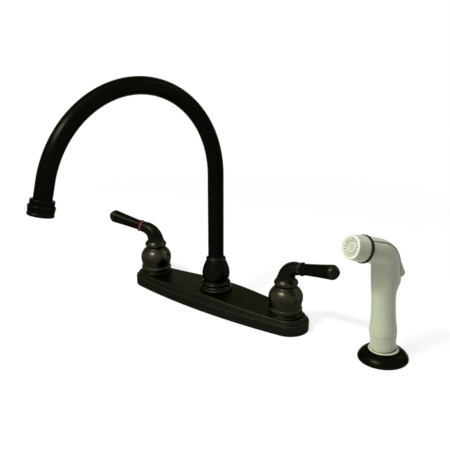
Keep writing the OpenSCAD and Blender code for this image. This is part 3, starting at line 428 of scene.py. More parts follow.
def makeMetal(v):
    material, tree, surface = newFinish(v["name"], v["base"], v["rough"], 1.0)
    ground = patched(tree, 9, 5.0, 0.6, v["base"], v["dull"])
    tree.links.new(blended(tree, wornEdges(tree), ground, v["bright"]), surface.inputs["Base Color"])
    sheen = ranged(tree, speckle(tree, 2.5, 4.0), v["smooth"], v["rough"])
    tree.links.new(sheen, surface.inputs["Roughness"])
    bumped(tree, surface, speckle(tree, 1.2, 2.0, 0.5, (0.12, 0.12, 4)), 0.01)
    return material


finishes = {"bronze": makeBronze(bronzeLook), "white_plastic": makeCreamPlastic(plasticLook)}
for slot, look in metalLooks.items():
    finishes[slot] = makeMetal(look)
for slot, look in plainLooks.items():
    finishes[slot] = makePlain(look)
for part in frame["record"]["subparts"]:
    solid = frame["nodes"][part["node"]]
    solid.data.materials.clear()
    solid.data.materials.append(finishes[part["material_slot"]])
print("finishes made:", ", ".join(finishes))

# Outlines and surfaces, all in millimetres until a piece is made


# Catmull-Rom curve through the points, with "steps" points to each span
def curveThrough(points, steps=8):
    p = np.asarray(points, float)
    before = np.concatenate([p[:1], p[:-2]])[:, None]
    after = np.concatenate([p[2:], p[-1:]])[:, None]
    start = p[:-1, None]
    end = p[1:, None]
    t = (np.arange(steps) / steps)[None, :, None]
    square = (2 * before - 5 * start + 4 * end - after) * t**2
    cube = (3 * start - before - 3 * end + after) * t**3
    spans = 0.5 * (2 * start + (end - before) * t + square + cube)
    return np.concatenate([spans.reshape(-1, p.shape[1]), p[-1:]])


# Points on a circle's arc, angles in degrees
def arcPoints(centre, radius, first, last, count=12):
    a = np.radians(np.linspace(first, last, count))
    return np.asarray(centre) + radius * np.stack([np.cos(a), np.sin(a)], -1)


# Points of an outline, each given by its distance outward and upward from one (radius, height) place
def around(radius, height, offsets):
    return (np.array(offsets, float) + [radius, height]).tolist()


# An outline of (radius, height) points is sampled finely and its corners are eased by a bell-shaped
# average along its length. It is then thinned, so that a point falls at each "turn" degrees of turning or
# "longest" millimetres. Also returns how convex the outline is at each point, from 0 to 1.
def easedOutline(stretches, ease=0.16, turn=9.0, longest=1.6):
    points = np.concatenate([np.asarray(s, float) for s in stretches])
    steps = np.linalg.norm(np.diff(points, axis=0), axis=1)
    keep = np.concatenate([[True], steps > 1e-6])
    points = points[keep]
    far = np.concatenate([[0], np.cumsum(steps[steps > 1e-6])])
    fine = 0.04
    count = int(far[-1] / fine) + 2
    at = np.linspace(0, far[-1], count)
    line = np.stack([np.interp(at, far, points[:, k]) for k in (0, 1)], -1)
    reach = int(3 * ease / fine) + 1
    weights = np.exp(-0.5 * (np.arange(-reach, reach + 1) * fine / ease) ** 2)
    weights /= weights.sum()
    padded = np.concatenate([2 * line[0] - line[reach:0:-1], line, 2 * line[-1] - line[-2:-reach - 2:-1]])
    line = np.stack([np.convolve(padded[:, k], weights, "valid") for k in (0, 1)], -1)
    way = np.gradient(line, axis=0)
    heading = np.unwrap(np.arctan2(way[:, 1], way[:, 0]))
    bend = np.gradient(heading) / np.maximum(np.linalg.norm(way, axis=1), 1e-6)
    spacing = np.clip(math.radians(turn) / np.maximum(np.abs(bend), 1e-6), 0.1, longest)
    crowd = np.concatenate([[0], np.cumsum(at[1] / spacing[1:])])
    chosen = np.interp(np.linspace(0, crowd[-1], int(crowd[-1]) + 2), crowd, at)
    outline = np.stack([np.interp(chosen, at, line[:, k]) for k in (0, 1)], -1)
    convex = np.interp(chosen, at, np.clip(bend * 0.9, 0, 1))
    return outline, convex


def anglesRound(columns):
    return np.arange(columns) * tau / columns


def ringAt(a):
    return np.stack([np.cos(a), np.sin(a), 0 * a], -1)


# Surface of revolution: each (radius, height) point is carried round the Z axis
def turned(outline, columns=128):
    return outline[:, None, :1] * ringAt(anglesRound(columns)) + outline[:, None, 1:] * zAxis


# An arm goes straight up to "start", bends towards +X with radius "bend" through "turn" radians and goes
# straight on. Gives the centre at a distance along it and the direction of the ring's first point.
def alongArm(far, start, bend, turn):
    a = np.clip((far - start) / bend, 0, turn)
    past = np.maximum(far - start - bend * turn, 0)
    x = bend * (1 - np.cos(a)) + past * np.sin(a)
    z = np.minimum(far, start) + bend * np.sin(a) + past * np.cos(a)
    return np.stack([x, 0 * a, z], -1), np.stack([np.cos(a), 0 * a, -np.sin(a)], -1)


# Tube round an arm: each outline point (radius, distance along the arm) becomes a ring
def sweptRound(outline, arm, columns=96):
    centre, across = alongArm(outline[:, 1], *arm)
    a = anglesRound(columns)
    ring = across[:, None] * np.cos(a)[None, :, None] + yAxis * np.sin(a)[None, :, None]
    return centre[:, None] + outline[:, None, :1] * ring


# Local points put at an origin, with the local X and Z axes along "across" and "along"
def inAxes(points, origin, across, along):
    side = np.cross(along, across)
    return origin + points[..., :1] * across + points[..., 1:2] * side + points[..., 2:] * along


def standingAt(points, foot, heading):
    return inAxes(points, foot, np.array([math.cos(heading), math.sin(heading), 0]), zAxis)


# A grid of points becomes a closed skin: rows run along the piece and columns go round it. Points that
# coincide, as at a pole, are welded, and a cell that loses a corner becomes a triangle. Wear and marks are
# written on the points for the finishes: one value in all, one to each row or one to each point.
def makePiece(name, grid, slot, body, nodes=(), wear=0.0, sharp=38, **marks):
    rows, columns = grid.shape[:2]
    index = np.arange(rows * columns).reshape(rows, columns)
    here = index[:-1]
    there = index[1:]
    cells = np.stack([here, np.roll(here, -1, 1), np.roll(there, -1, 1), there], -1).reshape(-1, 4)
    points = grid.reshape(-1, 3)
    first, welded = np.unique(np.round(points, 3), axis=0, return_index=True, return_inverse=True)[1:]
    cells = welded.reshape(-1)[cells]
    same = cells == np.roll(cells, -1, 1)
    crossed = (cells[:, 0] == cells[:, 2]) | (cells[:, 1] == cells[:, 3])
    quads = cells[(same.sum(1) == 0) & ~crossed]
    single = (same.sum(1) == 1) & ~crossed
    triangles = cells[single][~same[single]].reshape(-1, 3)
    mesh = bpy.data.meshes.new(name)
    mesh.from_pydata((points[first] * mm).tolist(), [], quads.tolist() + triangles.tolist())
    for key, values in dict(marks, wear=wear).items():
        filled = np.broadcast_to(np.asarray(values, float), (rows, columns))
        attribute = mesh.attributes.new(key, "FLOAT", "POINT")
        attribute.data.foreach_set("value", filled.reshape(-1)[first].astype(np.float32))
    mesh.shade_smooth()
    mesh.set_sharp_from_angle(angle=math.radians(sharp))
    mesh.materials.append(finishes[slot])
    piece = bpy.data.objects.new(name, mesh)
    bpy.context.scene.collection.objects.link(piece)
    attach(piece, body)
    if nodes:
        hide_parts(*nodes)
    return piece


# Deck plate: the outline is two shallow side arcs and two round ends, drawn in by an inset. The section is
# carried round it, and the top ends in a line along the middle, where its two halves meet.
plateShape = {
    "endRadius": 22.4,
    "wall": 12.5,
    "shell": 2.6,
    "seat": 17.2,
    "crown": 20.4,
    "crownReach": 95.6,
    "lastInset": 22.0,
}


# The side arcs' radius follows from the plate's width and from touching both round ends. The points then lie
# at even angles on each arc, drawn in by the inset.
def plateOutline(inset, v, endSteps=36, sideSteps=120):
    endX = plateSize[0] / 2 - v["endRadius"]
    sideR = (endX**2 + (plateSize[1] / 2) ** 2 - v["endRadius"] ** 2) / (plateSize[1] - 2 * v["endRadius"])
    sideY = sideR - plateSize[1] / 2
    half = math.atan2(sideY, endX)
    a = np.linspace(-half, half, endSteps + 1)
    end = np.stack([endX + (v["endRadius"] - inset) * np.cos(a), (v["endRadius"] - inset) * np.sin(a)], -1)
    b = (math.pi / 2 - half) * (1 - 2 * np.arange(1, sideSteps) / sideSteps)
    side = np.stack([(sideR - inset) * np.sin(b), (sideR - inset) * np.cos(b) - sideY], -1)
    return np.concatenate([end, side, -end, -side])


# Half a cosine wave carries the top from its seat at both ends up to the crown in the middle
def plateTop(x, v):
    rise = (1 + np.cos(math.pi * np.clip(x / v["crownReach"], -1, 1))) / 2
    return (v["crown"] - v["seat"]) * rise


def makePlate(v):
    wall = v["wall"]
    seat = v["seat"]
    ceiling = seat - v["shell"] - 0.2
    inner = [[-v["lastInset"], ceiling], [-6.2, ceiling], [-6.2, wall - 2.6], [-2.6, wall - 2.6], [-2.6, 0]]
    outer = [[-0.5, 0], [0, 0.5], [0, wall - 1.7], [-0.45, wall - 0.5], [-1.6, wall], [-2.5, wall + 0.1]]
    step = [[-3.1, wall + 0.7], [-3.4, seat - 1.9], [-3.9, seat - 0.9], [-4.8, seat - 0.25], [-6, seat]]
    outline, convex = easedOutline([inner, outer, step, [[-v["lastInset"], seat]]], 0.22, 9, 2.2)
    rows = [plateOutline(-r, v) for r in outline[:, 0]]
    flat = np.stack(rows)
    lifted = np.clip((outline[:, 1] - wall - 0.7) / 2.1, 0, 1)[:, None]
    z = outline[:, 1:] + lifted * plateTop(flat[..., 0], v) * (outline[:, 1:] > ceiling + 0.1)
    grid = np.concatenate([flat, z[..., None]], -1)
    # The last rows draw in to the middle line, inside and outside
    closing = np.array([0.75, 0.5, 0.25, 0.0])[:, None, None] * yAxis + xAxis + zAxis
    grid = np.concatenate([(grid[:1] * closing)[::-1], grid, grid[-1:] * closing])
    wear = np.concatenate([np.zeros(4), convex, np.zeros(4)])[:, None]
    makePiece("deckPlate", grid, "bronze", "base", ["deck_plate"], wear, cast=1.0)


makePlate(plateShape)

# Foot rings: a turned ring with a bead, a step and a short neck that the bell stands over
# The foot rings' low "pale" value keeps their finish dark as painted shade under the bells
footShape = {"outer": 19.8, "bore": 11.1, "low": 17.2, "high": 22.0, "edgeWear": 0.5, "pale": 0.15}


def makeFootRing(name, foot, nodeName, v):
    r = v["outer"]
    z = v["low"]
    neck = r - 2.3
    start = [[v["bore"], z + 2]]
    lower = start + [[v["bore"], z]] + around(r, z, [[-0.4, 0], [0, 0.4], [0, 1.5]])
    bead = around(r, z, [[-0.15, 1.9], [-0.7, 2.3], [-1.6, 2.6], [-2.2, 3.2], [-2.3, 4]])
    upper = [[neck, v["high"] - 0.2], [r - 2.5, v["high"]], [v["bore"], v["high"]]] + start
    outline, convex = easedOutline([lower, curveThrough(bead), upper], 0.12)
    grid = standingAt(turned(outline), foot, 0)
    # Painted shade: the ring is given a dark finish
    makePiece(name, grid, "bronze", "base", [nodeName], v["edgeWear"] * convex[:, None], turned=v["pale"])


makeFootRing("hotFootRing", hotFoot, "hot_foot_ring", footShape)
makeFootRing("coldFootRing", coldFoot, "cold_foot_ring", footShape)

# Handles: one outline runs from the hollow inside, over the rim, bell and collar, and out along the neck
handleShape = {
    "rimZ": 22.35,
    "rimR": 18.95,
    "bellZ": 37.0,
    "bellR": 19.35,
    "collarZ": 54.5,
    "collarR": 13.5,
    "neckR": 10.5,
    "neckEndR": 6.9,
    "bendR": 16.3,
    "turn": math.radians(79.5),
    "straight": 5.6,
    "screwZ": 42.5,
    "screwR": 2.05,
    "screwWell": 13.2,
    "bellPale": 0.42,
    "neckPale": 0.14,
    # Painted highlights: bands of paler finish where the highlights fall on the bell, collar and rim
    "highlightBands": ((43.0, 4.5, 0.72), (54.5, 2.5, 0.35), (25.35, 1.6, 0.5)),  # height, spread and strength
}
handleArm = (handleShape["collarZ"] + 3.5, handleShape["bendR"], handleShape["turn"])


# Curves through the bell's and the collar's points, then a neck whose radius falls off with a power of the
# distance left to its end
def handleOutline(v):
    rimZ = v["rimZ"]
    hollow = [[0, 36.8], [11, 36.8], [14.2, 33], [14.2, 27.8], [15.6, 26.6], [15.6, rimZ]]
    rim = around(v["rimR"], rimZ, [[-0.7, 0], [-0.15, 0.6], [0, 1.7], [-0.2, 3], [-0.8, 4], [-0.95, 5.3]])
    belly = around(v["bellR"], v["bellZ"], [[-1.1, -7], [-0.5, -4], [-0.08, -1.5], [0, 0.3], [-0.2, 3],
                                            [-1, 5.4], [-2.5, 8.2], [-4.5, 10.7]])
    collar = around(v["collarR"], v["collarZ"], [[-0.5, -5.2], [-1.35, -4.1], [-1.1, -2.9], [-0.3, -1.4],
                                                 [0, 0], [-0.3, 1.4], [-1.3, 2.8]])
    root = around(v["neckR"], v["collarZ"], [[0.55, 4.2], [-0.08, 5.6]])
    run = v["bendR"] * v["turn"] + v["straight"]
    t = np.linspace(0.12, 1, 30)
    neckR = v["neckEndR"] + (v["neckR"] - v["neckEndR"]) * (1 - t) ** 1.2
    neck = np.stack([neckR, handleArm[0] + t * run], -1)
    end = [[0, handleArm[0] + run]]
    under = hollow + [[v["rimR"] - 1.6, rimZ]]
    return easedOutline([under, curveThrough(rim + belly + collar + root), neck, end], 0.16, 8, 1.1)


# A round hole cut into a piece from outside, along a direction
def boreHole(piece, start, direction, radius, depth, columns=40):
    outline = np.array([[0, 0], [radius, 0], [radius, depth], [0, depth]], float)
    side = np.cross(direction, zAxis)
    cutter = makePiece("cutter", inAxes(turned(outline, columns), start, side, direction), "steel", "base")
    cut = piece.modifiers.new("hole", "BOOLEAN")
    cut.object = cutter
    cut.operation = "DIFFERENCE"
    cut.solver = "EXACT"
    shape = bpy.data.meshes.new_from_object(piece.evaluated_get(bpy.context.evaluated_depsgraph_get()))
    piece.modifiers.clear()
    piece.data = shape
    bpy.data.objects.remove(cutter)
    shape.set_sharp_from_angle(angle=math.radians(38))


def makeHandle(name, foot, heading, body, nodeName, v):
    outline, convex = handleOutline(v)
    grid = standingAt(sweptRound(outline, handleArm, 144), foot, heading)
    # Painted highlights: the finish is paler in bands where the highlights fall on the bell's shoulder, the collar
    # and the rim, and darker along the neck
    z = outline[:, 1:]
    onNeck = np.clip((z - v["collarZ"] - 3) / 6, 0, 1)
    pale = v["bellPale"] + (v["neckPale"] - v["bellPale"]) * onNeck
    for height, spread, strength in v["highlightBands"]:
        pale = pale + strength * np.exp(-((z - height) / spread) ** 2)
    piece = makePiece(name, grid, "bronze", body, [nodeName], convex[:, None], turned=pale)
    away = np.array([-math.cos(heading), -math.sin(heading), 0])
    start = foot + away * v["screwWell"] + zAxis * v["screwZ"]
    boreHole(piece, start, away, v["screwR"], 12)


makeHandle("hotHandle", hotFoot, hotHeading, "hot_control", "hot_handle", handleShape)
makeHandle("coldHandle", coldFoot, coldHeading, "cold_control", "cold_handle", handleShape)
print("deck plate, foot rings and handles are made")

# Levers and the coloured rings between lever and neck, turned about the neck's last stretch
leverShape = {
    "length": 51.5,
    "waistR": 6.3,
    "tipR": 8.1,
    "beadR": 7.65,
    "rootR": 5.9,
    "ringW": 1.8,
    "ringR": 7.1,
    "ringBore": 6.0,
    "shaftPale": 0.04,
    "tipHighlight": 0.36,
}


# Local points put where the neck ends, with Z along the neck's last direction
def onLever(points, foot, heading, v=handleShape):
    centre, across = alongArm(np.array([handleArm[0] + v["bendR"] * v["turn"] + v["straight"]]), *handleArm)
    along = np.cross(across[0], yAxis)
    return standingAt(inAxes(points, centre[0], across[0], along), foot, heading)


def makeLever(name, foot, heading, body, nodeName, v):
    bead = v["ringW"] + 1.2
    tip = v["tipR"]
    length = v["length"]
    root = [[0, 0], [v["rootR"], 0], [v["rootR"], v["ringW"]]]
    ball = arcPoints([v["beadR"] - 1.2, bead], 1.2, -90, 50)
    waist = v["waistR"]
    shaft = [[waist + 0.35, bead + 1.2], [waist, bead + 2.2], [waist + (tip - waist) * 0.45, length * 0.5]]
    crown = around(tip, length, [[-0.05, -9.8], [0, -8.5], [-0.5, -6.7], [-1.7, -4.7], [-3.4, -2.9],
                                 [-5.4, -1.3], [-6.9, -0.3]])
    shaft = curveThrough(shaft + crown + [[0, length]], 12)
    outline, convex = easedOutline([root, ball, shaft], 0.12, 8, 1.2)
    grid = onLever(turned(outline, 96), foot, heading)
    # Painted highlight: the finish grows paler over the last stretch, where the highlight falls on the tip
    onTip = np.clip((outline[:, 1:] - length + 11) / 3, 0, 1)
    pale = v["shaftPale"] + (v["tipHighlight"] - v["shaftPale"]) * onTip
    makePiece(name, grid, "bronze", body, [nodeName], convex[:, None], turned=pale)


def makeIndexRing(name, foot, heading, body, nodeName, slot, v):
    r = v["ringR"]
    width = v["ringW"]
    start = [[v["ringBore"], width / 2]]
    first = start + [[v["ringBore"], 0.02]]
    last = [[v["ringBore"], width - 0.02]] + start
    edge = around(r, 0, [[-0.3, 0.02], [-0.08, 0.3], [0, width / 2], [-0.08, width - 0.3],
                         [-0.3, width - 0.02]])
    outline = easedOutline([first, curveThrough(edge), last], 0.06)[0]
    makePiece(name, onLever(turned(outline, 96), foot, heading), slot, body, [nodeName])


for side, foot, heading in (("hot", hotFoot, hotHeading), ("cold", coldFoot, coldHeading)):
    body = side + "_control"
    slot = {"hot": "red_enamel", "cold": "blue_enamel"}[side]
    makeLever(side + "Lever", foot, heading, body, side + "_lever", leverShape)
    makeIndexRing(side + "IndexRing", foot, heading, body, side + "_index_ring", slot, leverShape)

# Spout: base, collar, gooseneck and outlet
spoutShape = {
    "baseZ": 20.25,
    "footR": 19.4,
    "bellR": 16.5,
    "topZ": 56.9,
    "postBore": 12.5,
    "tubeBore": 9.56,
    "boreMiddle": 30.0,
    "boreStep": 46.6,
    "edgeWear": 0.55,
    "footPale": 0.2,
    "bellPale": 0.08,
    "collarPale": 0.12,
    "tubeR": 9.26,
    "tubeWall": 1.6,
    "tubeLow": 41.8,
    "rise": 161.0,
    "bendR": 108.0,
    "turn": math.radians(166),
    "tail": 18.0,
}
spoutArm = (spoutShape["rise"], spoutShape["bendR"], spoutShape["turn"])
spoutLength = spoutShape["rise"] + spoutShape["bendR"] * spoutShape["turn"] + spoutShape["tail"]


def makeSpoutBase(v):
    z = v["baseZ"]
    start = [[v["postBore"], v["boreMiddle"]]]
    under = start + [[v["postBore"], z]] + around(v["footR"], z, [[-0.4, 0], [0, 0.4], [0, 1.5]])
    foot = around(v["footR"], z, [[-0.05, 1.9], [-0.5, 2.4], [-1.2, 2.75], [-1.6, 3.4], [-1.8, 4.3],
                                  [-2.2, 5.1], [-2.9, 5.8], [-2.8, 6.7], [-2.2, 7.7], [-2.1, 8.9],
                                  [-2.9, 10]])
    bell = around(v["bellR"], z, [[-1.7, 11.2], [-1.4, 13], [-0.5, 16], [0, 19.5], [-0.2, 23], [-0.9, 26.5],
                                  [-2.2, 30.4], [-3.7, 33.9]])
    top = around(v["bellR"], v["topZ"], [[-4.6, -0.9], [-5, 0]])
    bore = [[v["tubeBore"], v["topZ"]], [v["tubeBore"], v["boreStep"]]]
    bore += [[v["postBore"], v["boreStep"]]] + start
    outline, convex = easedOutline([under, curveThrough(foot + bell + top), bore], 0.12, 8)
    wear = v["edgeWear"] * convex[:, None]
    onBell = np.clip((outline[:, 1:] - z - 9) / 3, 0, 1)
    pale = v["footPale"] + (v["bellPale"] - v["footPale"]) * onBell
    makePiece("spoutBase", turned(outline), "bronze", "base", ["spout_base"], wear, turned=pale)


def makeSpoutCollar(v):
    z = v["topZ"] + 0.3
    bore = v["tubeR"] + 0.05
    bead = around(v["tubeR"], z, [[1.5, 0], [2.2, 0.3], [2.6, 1.2], [2.4, 2.2], [1.6, 3.2], [0.7, 3.8],
                                  [0.3, 4.3]])
    under = [[bore, z + 2], [bore, z]]
    inside = [[bore, z + 4.3], [bore, z + 2]]
    outline, convex = easedOutline([under, curveThrough(bead), inside], 0.1, 8)
    wear = convex[:, None]
    pale = v["collarPale"]
    makePiece("spoutCollar", turned(outline), "bronze", "spout", ["spout_collar"], wear, turned=pale)


def makeGooseneck(v):
    r = v["tubeR"]
    inner = r - v["tubeWall"]
    middle = r - v["tubeWall"] / 2
    low = v["tubeLow"]
    ring = [[middle, low], [r, low], [r, spoutLength], [inner, spoutLength], [inner, low], [middle, low]]
    outline, convex = easedOutline([ring], 0.12, 12, 2.4)
    grid = standingAt(sweptRound(outline, spoutArm, 96), 0, spoutHeading)
    makePiece("gooseneck", grid, "bronze", "spout", ["spout_tube"], convex[:, None])


# Local points put where the gooseneck ends, with Z along its last direction
def atOutlet(points):
    centre, across = alongArm(np.array([spoutLength]), *spoutArm)
    return standingAt(inAxes(points, centre[0], across[0], np.cross(across[0], yAxis)), 0, spoutHeading)


outletShape = {
    "adapterR": 12.0,
    "adapterLow": -2.0,
    "adapterHigh": 3.5,
    "threadR": 10.6,
    "threadH": 5.5,
    "aeratorR": 13.4,
    "aeratorH": 10.4,
    "aeratorBore": 10.7,
    "lipR": 9.2,
    "lipH": 1.4,
    "edgeWear": 0.3,
}


def makeOutlet(v):
    r = v["adapterR"]
    low = v["adapterLow"]
    high = v["adapterHigh"]
    thread = v["threadR"]
    threadEnd = high + v["threadH"]
    bore = spoutShape["tubeR"] - spoutShape["tubeWall"]
    socket = spoutShape["tubeR"] + 0.07
    shoulder = arcPoints([r - 1, low + 1], 1, -90, 0)
    rest = [[r, high - 0.4], [r - 0.4, high], [thread, high], [thread, threadEnd], [bore, threadEnd],
            [bore, low + 1.05], [socket, low + 1.05], [socket, low + 0.5]]
    outline, convex = easedOutline([[[socket, low + 0.5], [socket, low]], shoulder, rest], 0.1)
    wear = v["edgeWear"] * convex[:, None]
    makePiece("outletAdapter", atOutlet(turned(outline, 112)), "bronze", "spout", ["outlet_adapter"], wear)
    r = v["aeratorR"]
    inner = v["aeratorBore"]
    end = high + v["aeratorH"]
    top = [[inner, high + 4], [inner, high], [r - 0.5, high], [r - 0.1, high + 0.4]]
    wall = around(r, high, [[0, 1], [-0.15, 2.6]])
    wall += around(r, end, [[-0.5, -4.2], [-0.85, -3.6], [-0.75, -3.1], [-0.3, -2.5], [-0.2, -1.7],
                            [-0.45, -0.7], [-1.1, 0]])
    lip = [[v["lipR"], end], [v["lipR"], end - v["lipH"]], [inner, end - v["lipH"]], [inner, high + 4]]
    outline, convex = easedOutline([top, curveThrough(wall), lip], 0.1)
    wear = v["edgeWear"] * convex[:, None]
    makePiece("aeratorHousing", atOutlet(turned(outline, 112)), "bronze", "spout", ["aerator_housing"], wear)


makeSpoutBase(spoutShape)
makeSpoutCollar(spoutShape)
makeGooseneck(spoutShape)
makeOutlet(outletShape)
print("levers, index rings and spout are made")

# Sprayer holder: domed flange with its shank, and the pale liner in it
holderShape = {
    "flangeR": 26.0,
    "flangeH": 10.6,
    "shankR": 15.0,
    "shankL": 42.0,
    "grooveZ": -26.0,
    "grooveW": 1.0,
    "grooveDepth": 0.5,
    "linerR": 12.0,
    "linerWall": 1.6,
    "linerLow": -8.0,
    "rimR": 15.6,
}


def makeHolder(v):
    r = v["flangeR"]
    high = v["flangeH"]
    seat = v["linerR"] + v["linerWall"] + 0.1
    bore = v["linerR"] + 0.6
    shank = v["shankR"]
    root = shank - v["grooveDepth"]
    start = [[seat, 5]]
    inside = start + [[seat, v["linerLow"]], [bore, v["linerLow"]], [bore, -v["shankL"]]]
    thread = around(shank, -v["shankL"], [[-0.8, 0], [0, 0.8]])
    groove = around(0, v["grooveZ"], [[shank, 0], [root, 0], [root, v["grooveW"]], [shank, v["grooveW"]]])
    under = around(shank, 0, [[0, 0], [1.5, 0], [1.5, 1.3]]) + around(r, 0, [[-2, 1.3], [-2, 0]])
    dome = around(r, 0, [[-0.7, 0], [-0.1, 0.7], [0, 1.7], [-0.4, 3.2], [-1.6, 5.2]])
    dome += around(r, high, [[-3.6, -3.2], [-6.2, -1.4], [-9, -0.3], [-11, 0]])
    top = [[seat, high]] + start
    outline, convex = easedOutline([inside + thread + groove + under, curveThrough(dome), top], 0.14, 8)
    grid = standingAt(turned(outline), holderFoot, sprayHeading)
    makePiece("sprayHolder", grid, "bronze", "base", ["spray_holder"], convex[:, None])


def makeLiner(v):
    z = v["flangeH"]
    r = v["linerR"]
    low = v["linerLow"]
    wall = v["linerWall"]
    start = [[r, 5]]
    inside = start + [[r, low], [r + wall, low], [r + wall, z], [v["rimR"] - 0.3, z]]
    rim = arcPoints([v["rimR"] - 0.7, z + 0.7], 0.7, -60, 90)
    outline = easedOutline([inside, rim, [[r + 0.5, z + 1.4], [r, z + 0.9]] + start], 0.1)[0]
    grid = standingAt(turned(outline), holderFoot, sprayHeading)
    makePiece("holderLiner", grid, "white_plastic", "base", ["holder_liner"])


makeHolder(holderShape)
makeLiner(holderShape)

# Sprayer: its local Z runs up the leaning handle and its local X towards the side that the face looks to
sprayShape = {
    "headTilt": math.radians(16.5),
    "headZ": 117.4,
    "headReach": 45.3,
    "grip": 12.6,
    "collarZ": 21.6,
    "seam": 29.2,
    "bendR": 15.0,
    "neckR": 12.8,
    "channelStart": 85.2,
    "channelFloor": 8.8,
    "channelHalf": 8.3,
    "ringR": 13.85,
    "ringWire": 1.05,
    "ringLip": 1.5,
    "nozzleR": 11.9,
    "nozzleL": 15.4,
    "nozzleSocketR": 9.5,
    "nozzleSocketL": 6.4,
    "nozzleBore": 9.4,
    "faceSeatR": 10.4,
    "faceSeatL": 2.6,
}
sprayTurn = math.pi / 2 - sprayLean - sprayShape["headTilt"]
sprayCross = sprayShape["headZ"] / math.cos(sprayLean)
sprayTangent = sprayShape["bendR"] * math.tan(sprayTurn / 2)
sprayBend = sprayCross - sprayTangent
sprayBendEnd = sprayBend + sprayShape["bendR"] * sprayTurn
neckAt = sprayBendEnd + sprayShape["headReach"] - sprayShape["nozzleL"] - 2.2 - sprayTangent
sprayArm = (sprayBend, sprayShape["bendR"], sprayTurn)


# The sprayer's own axes: Z along its lean, and X square to that in the upright plane through it
def atSprayer(points):
    heading = np.array([math.cos(sprayHeading), math.sin(sprayHeading), 0])
    across = heading * math.cos(sprayLean) - zAxis * math.sin(sprayLean)
    return inAxes(points, holderFoot, across, sprayAxis)


# The head's axes start where its line crosses the handle's line, and "along" is the distance from there
def atHead(points, along):
    way = np.array([math.sin(sprayTurn), 0, math.cos(sprayTurn)])
    across = np.array([math.cos(sprayTurn), 0, -math.sin(sprayTurn)])
    return atSprayer(inAxes(points, zAxis * sprayCross + way * along, across, way))


# Body: at each station along the arm an oval with its own reach in front, behind and to the sides. Past the
# start of the channel the oval's back is cut down to a flat floor between two low cheeks.
def makeSprayBody(v, mainColumns=72, floorColumns=20):
    grip = v["grip"]
    neck = v["neckR"]
    swells = [
        [v["collarZ"], 0.5, 0.5, 0.5], [26, 0.9, 0.9, 0.9], [33, 1.35, 1.35, 1.35], [43, 0.4, 0.4, 0.4],
        [54, -0.3, -0.3, -0.3], [64, -0.5, -0.5, -0.5], [72, -0.4, -0.2, -0.4], [76, -0.3, 0.9, -0.3],
        [80, -0.1, 3.4, -0.1], [84, 0, 6.2, 0], [87, 0.1, 7.4, 0], [91, 0.2, 7, 0], [95, 0.2, 5.9, 0],
        [99, 0.3, 4.8, 0], [sprayBend, 0.3, 3.8, 0], [(sprayBend + sprayBendEnd) / 2, -0.4, 1.5, 0.1],
        [sprayBendEnd, 0, 0.5, 0.1]]
    head = [[neckAt - 9, neck, neck, neck], [neckAt, neck, neck, neck]]
    ovals = curveThrough(np.concatenate([np.array(swells) + [0, grip, grip, grip], head]), 10)
    start = v["channelStart"]
    far = np.union1d(np.linspace(v["seam"] + 0.5, neckAt - 0.5, 170), [start - 0.3, start])
    oval = np.stack([np.interp(far, ovals[:, 0], ovals[:, k]) for k in (1, 2, 3)], -1)
    cut = far >= start - 0.01
    # Both ends are rounded by two rows that draw in
    far = np.concatenate([v["seam"] + np.array([0.0, 0.18]), far, neckAt - np.array([0.18, 0.0])])
    oval = np.concatenate([oval[:1] - [[0.45], [0.14]], oval, oval[-1:] - [[0.14], [0.45]]])
    cut = np.concatenate([[False, False], cut, [True, True]])
    corner = math.pi - np.arcsin(v["channelHalf"] / oval[:, 2:])
    a = np.linspace(-1, 1, mainColumns) * corner
    front = np.where(np.cos(a) > 0, oval[:, :1], oval[:, 1:2]) * np.cos(a)
    t = np.linspace(0, 1, floorColumns)
    b = corner + t * (tau - 2 * corner)
    level = np.where(cut[:, None], -v["channelFloor"], oval[:, 1:2] * np.cos(b))
    wide = np.where(cut[:, None], v["channelHalf"] * (1 - 2 * t), oval[:, 2:] * np.sin(b))
    out = np.concatenate([front, level], 1)
    side = np.concatenate([oval[:, 2:] * np.sin(a), wide], 1)
    # The spigot that carries the black ring, with the closing poles of both ends
    angle = np.arctan2(side[-1], out[-1])
    spigot = (v["ringR"] - 2 * v["ringWire"]) * np.array([[1], [1], [0]])
    out = np.concatenate([0 * out[:1], out, np.cos(angle)[None] * spigot])
    side = np.concatenate([0 * side[:1], side, np.sin(angle)[None] * spigot])
    tip = neckAt + 2.1
    far = np.concatenate([far[:1], far, [neckAt, tip, tip]])
    centre, across = alongArm(far, *sprayArm)
    grid = centre[:, None] + out[..., None] * across[:, None] + side[..., None] * yAxis
    makePiece("sprayBody", atSprayer(grid), "white_plastic", "sprayer", ["spray_handle"], sharp=32)


# Trigger: an oval at each station, with its inner and outer reach and half width, squared off by powers of
# its sine and cosine. Its crown sags towards the sides with the square of the distance, and its free end is
# sheared, so that the inner side hangs lower and follows the heel.
triggerShape = {
    "first": 91.3,
    "pinPast": 9.7,  # from the end of the bend
    "endGap": 0.6,
    "sag": 0.022,
    "hang": 0.6,
    "hangReach": 6,
}


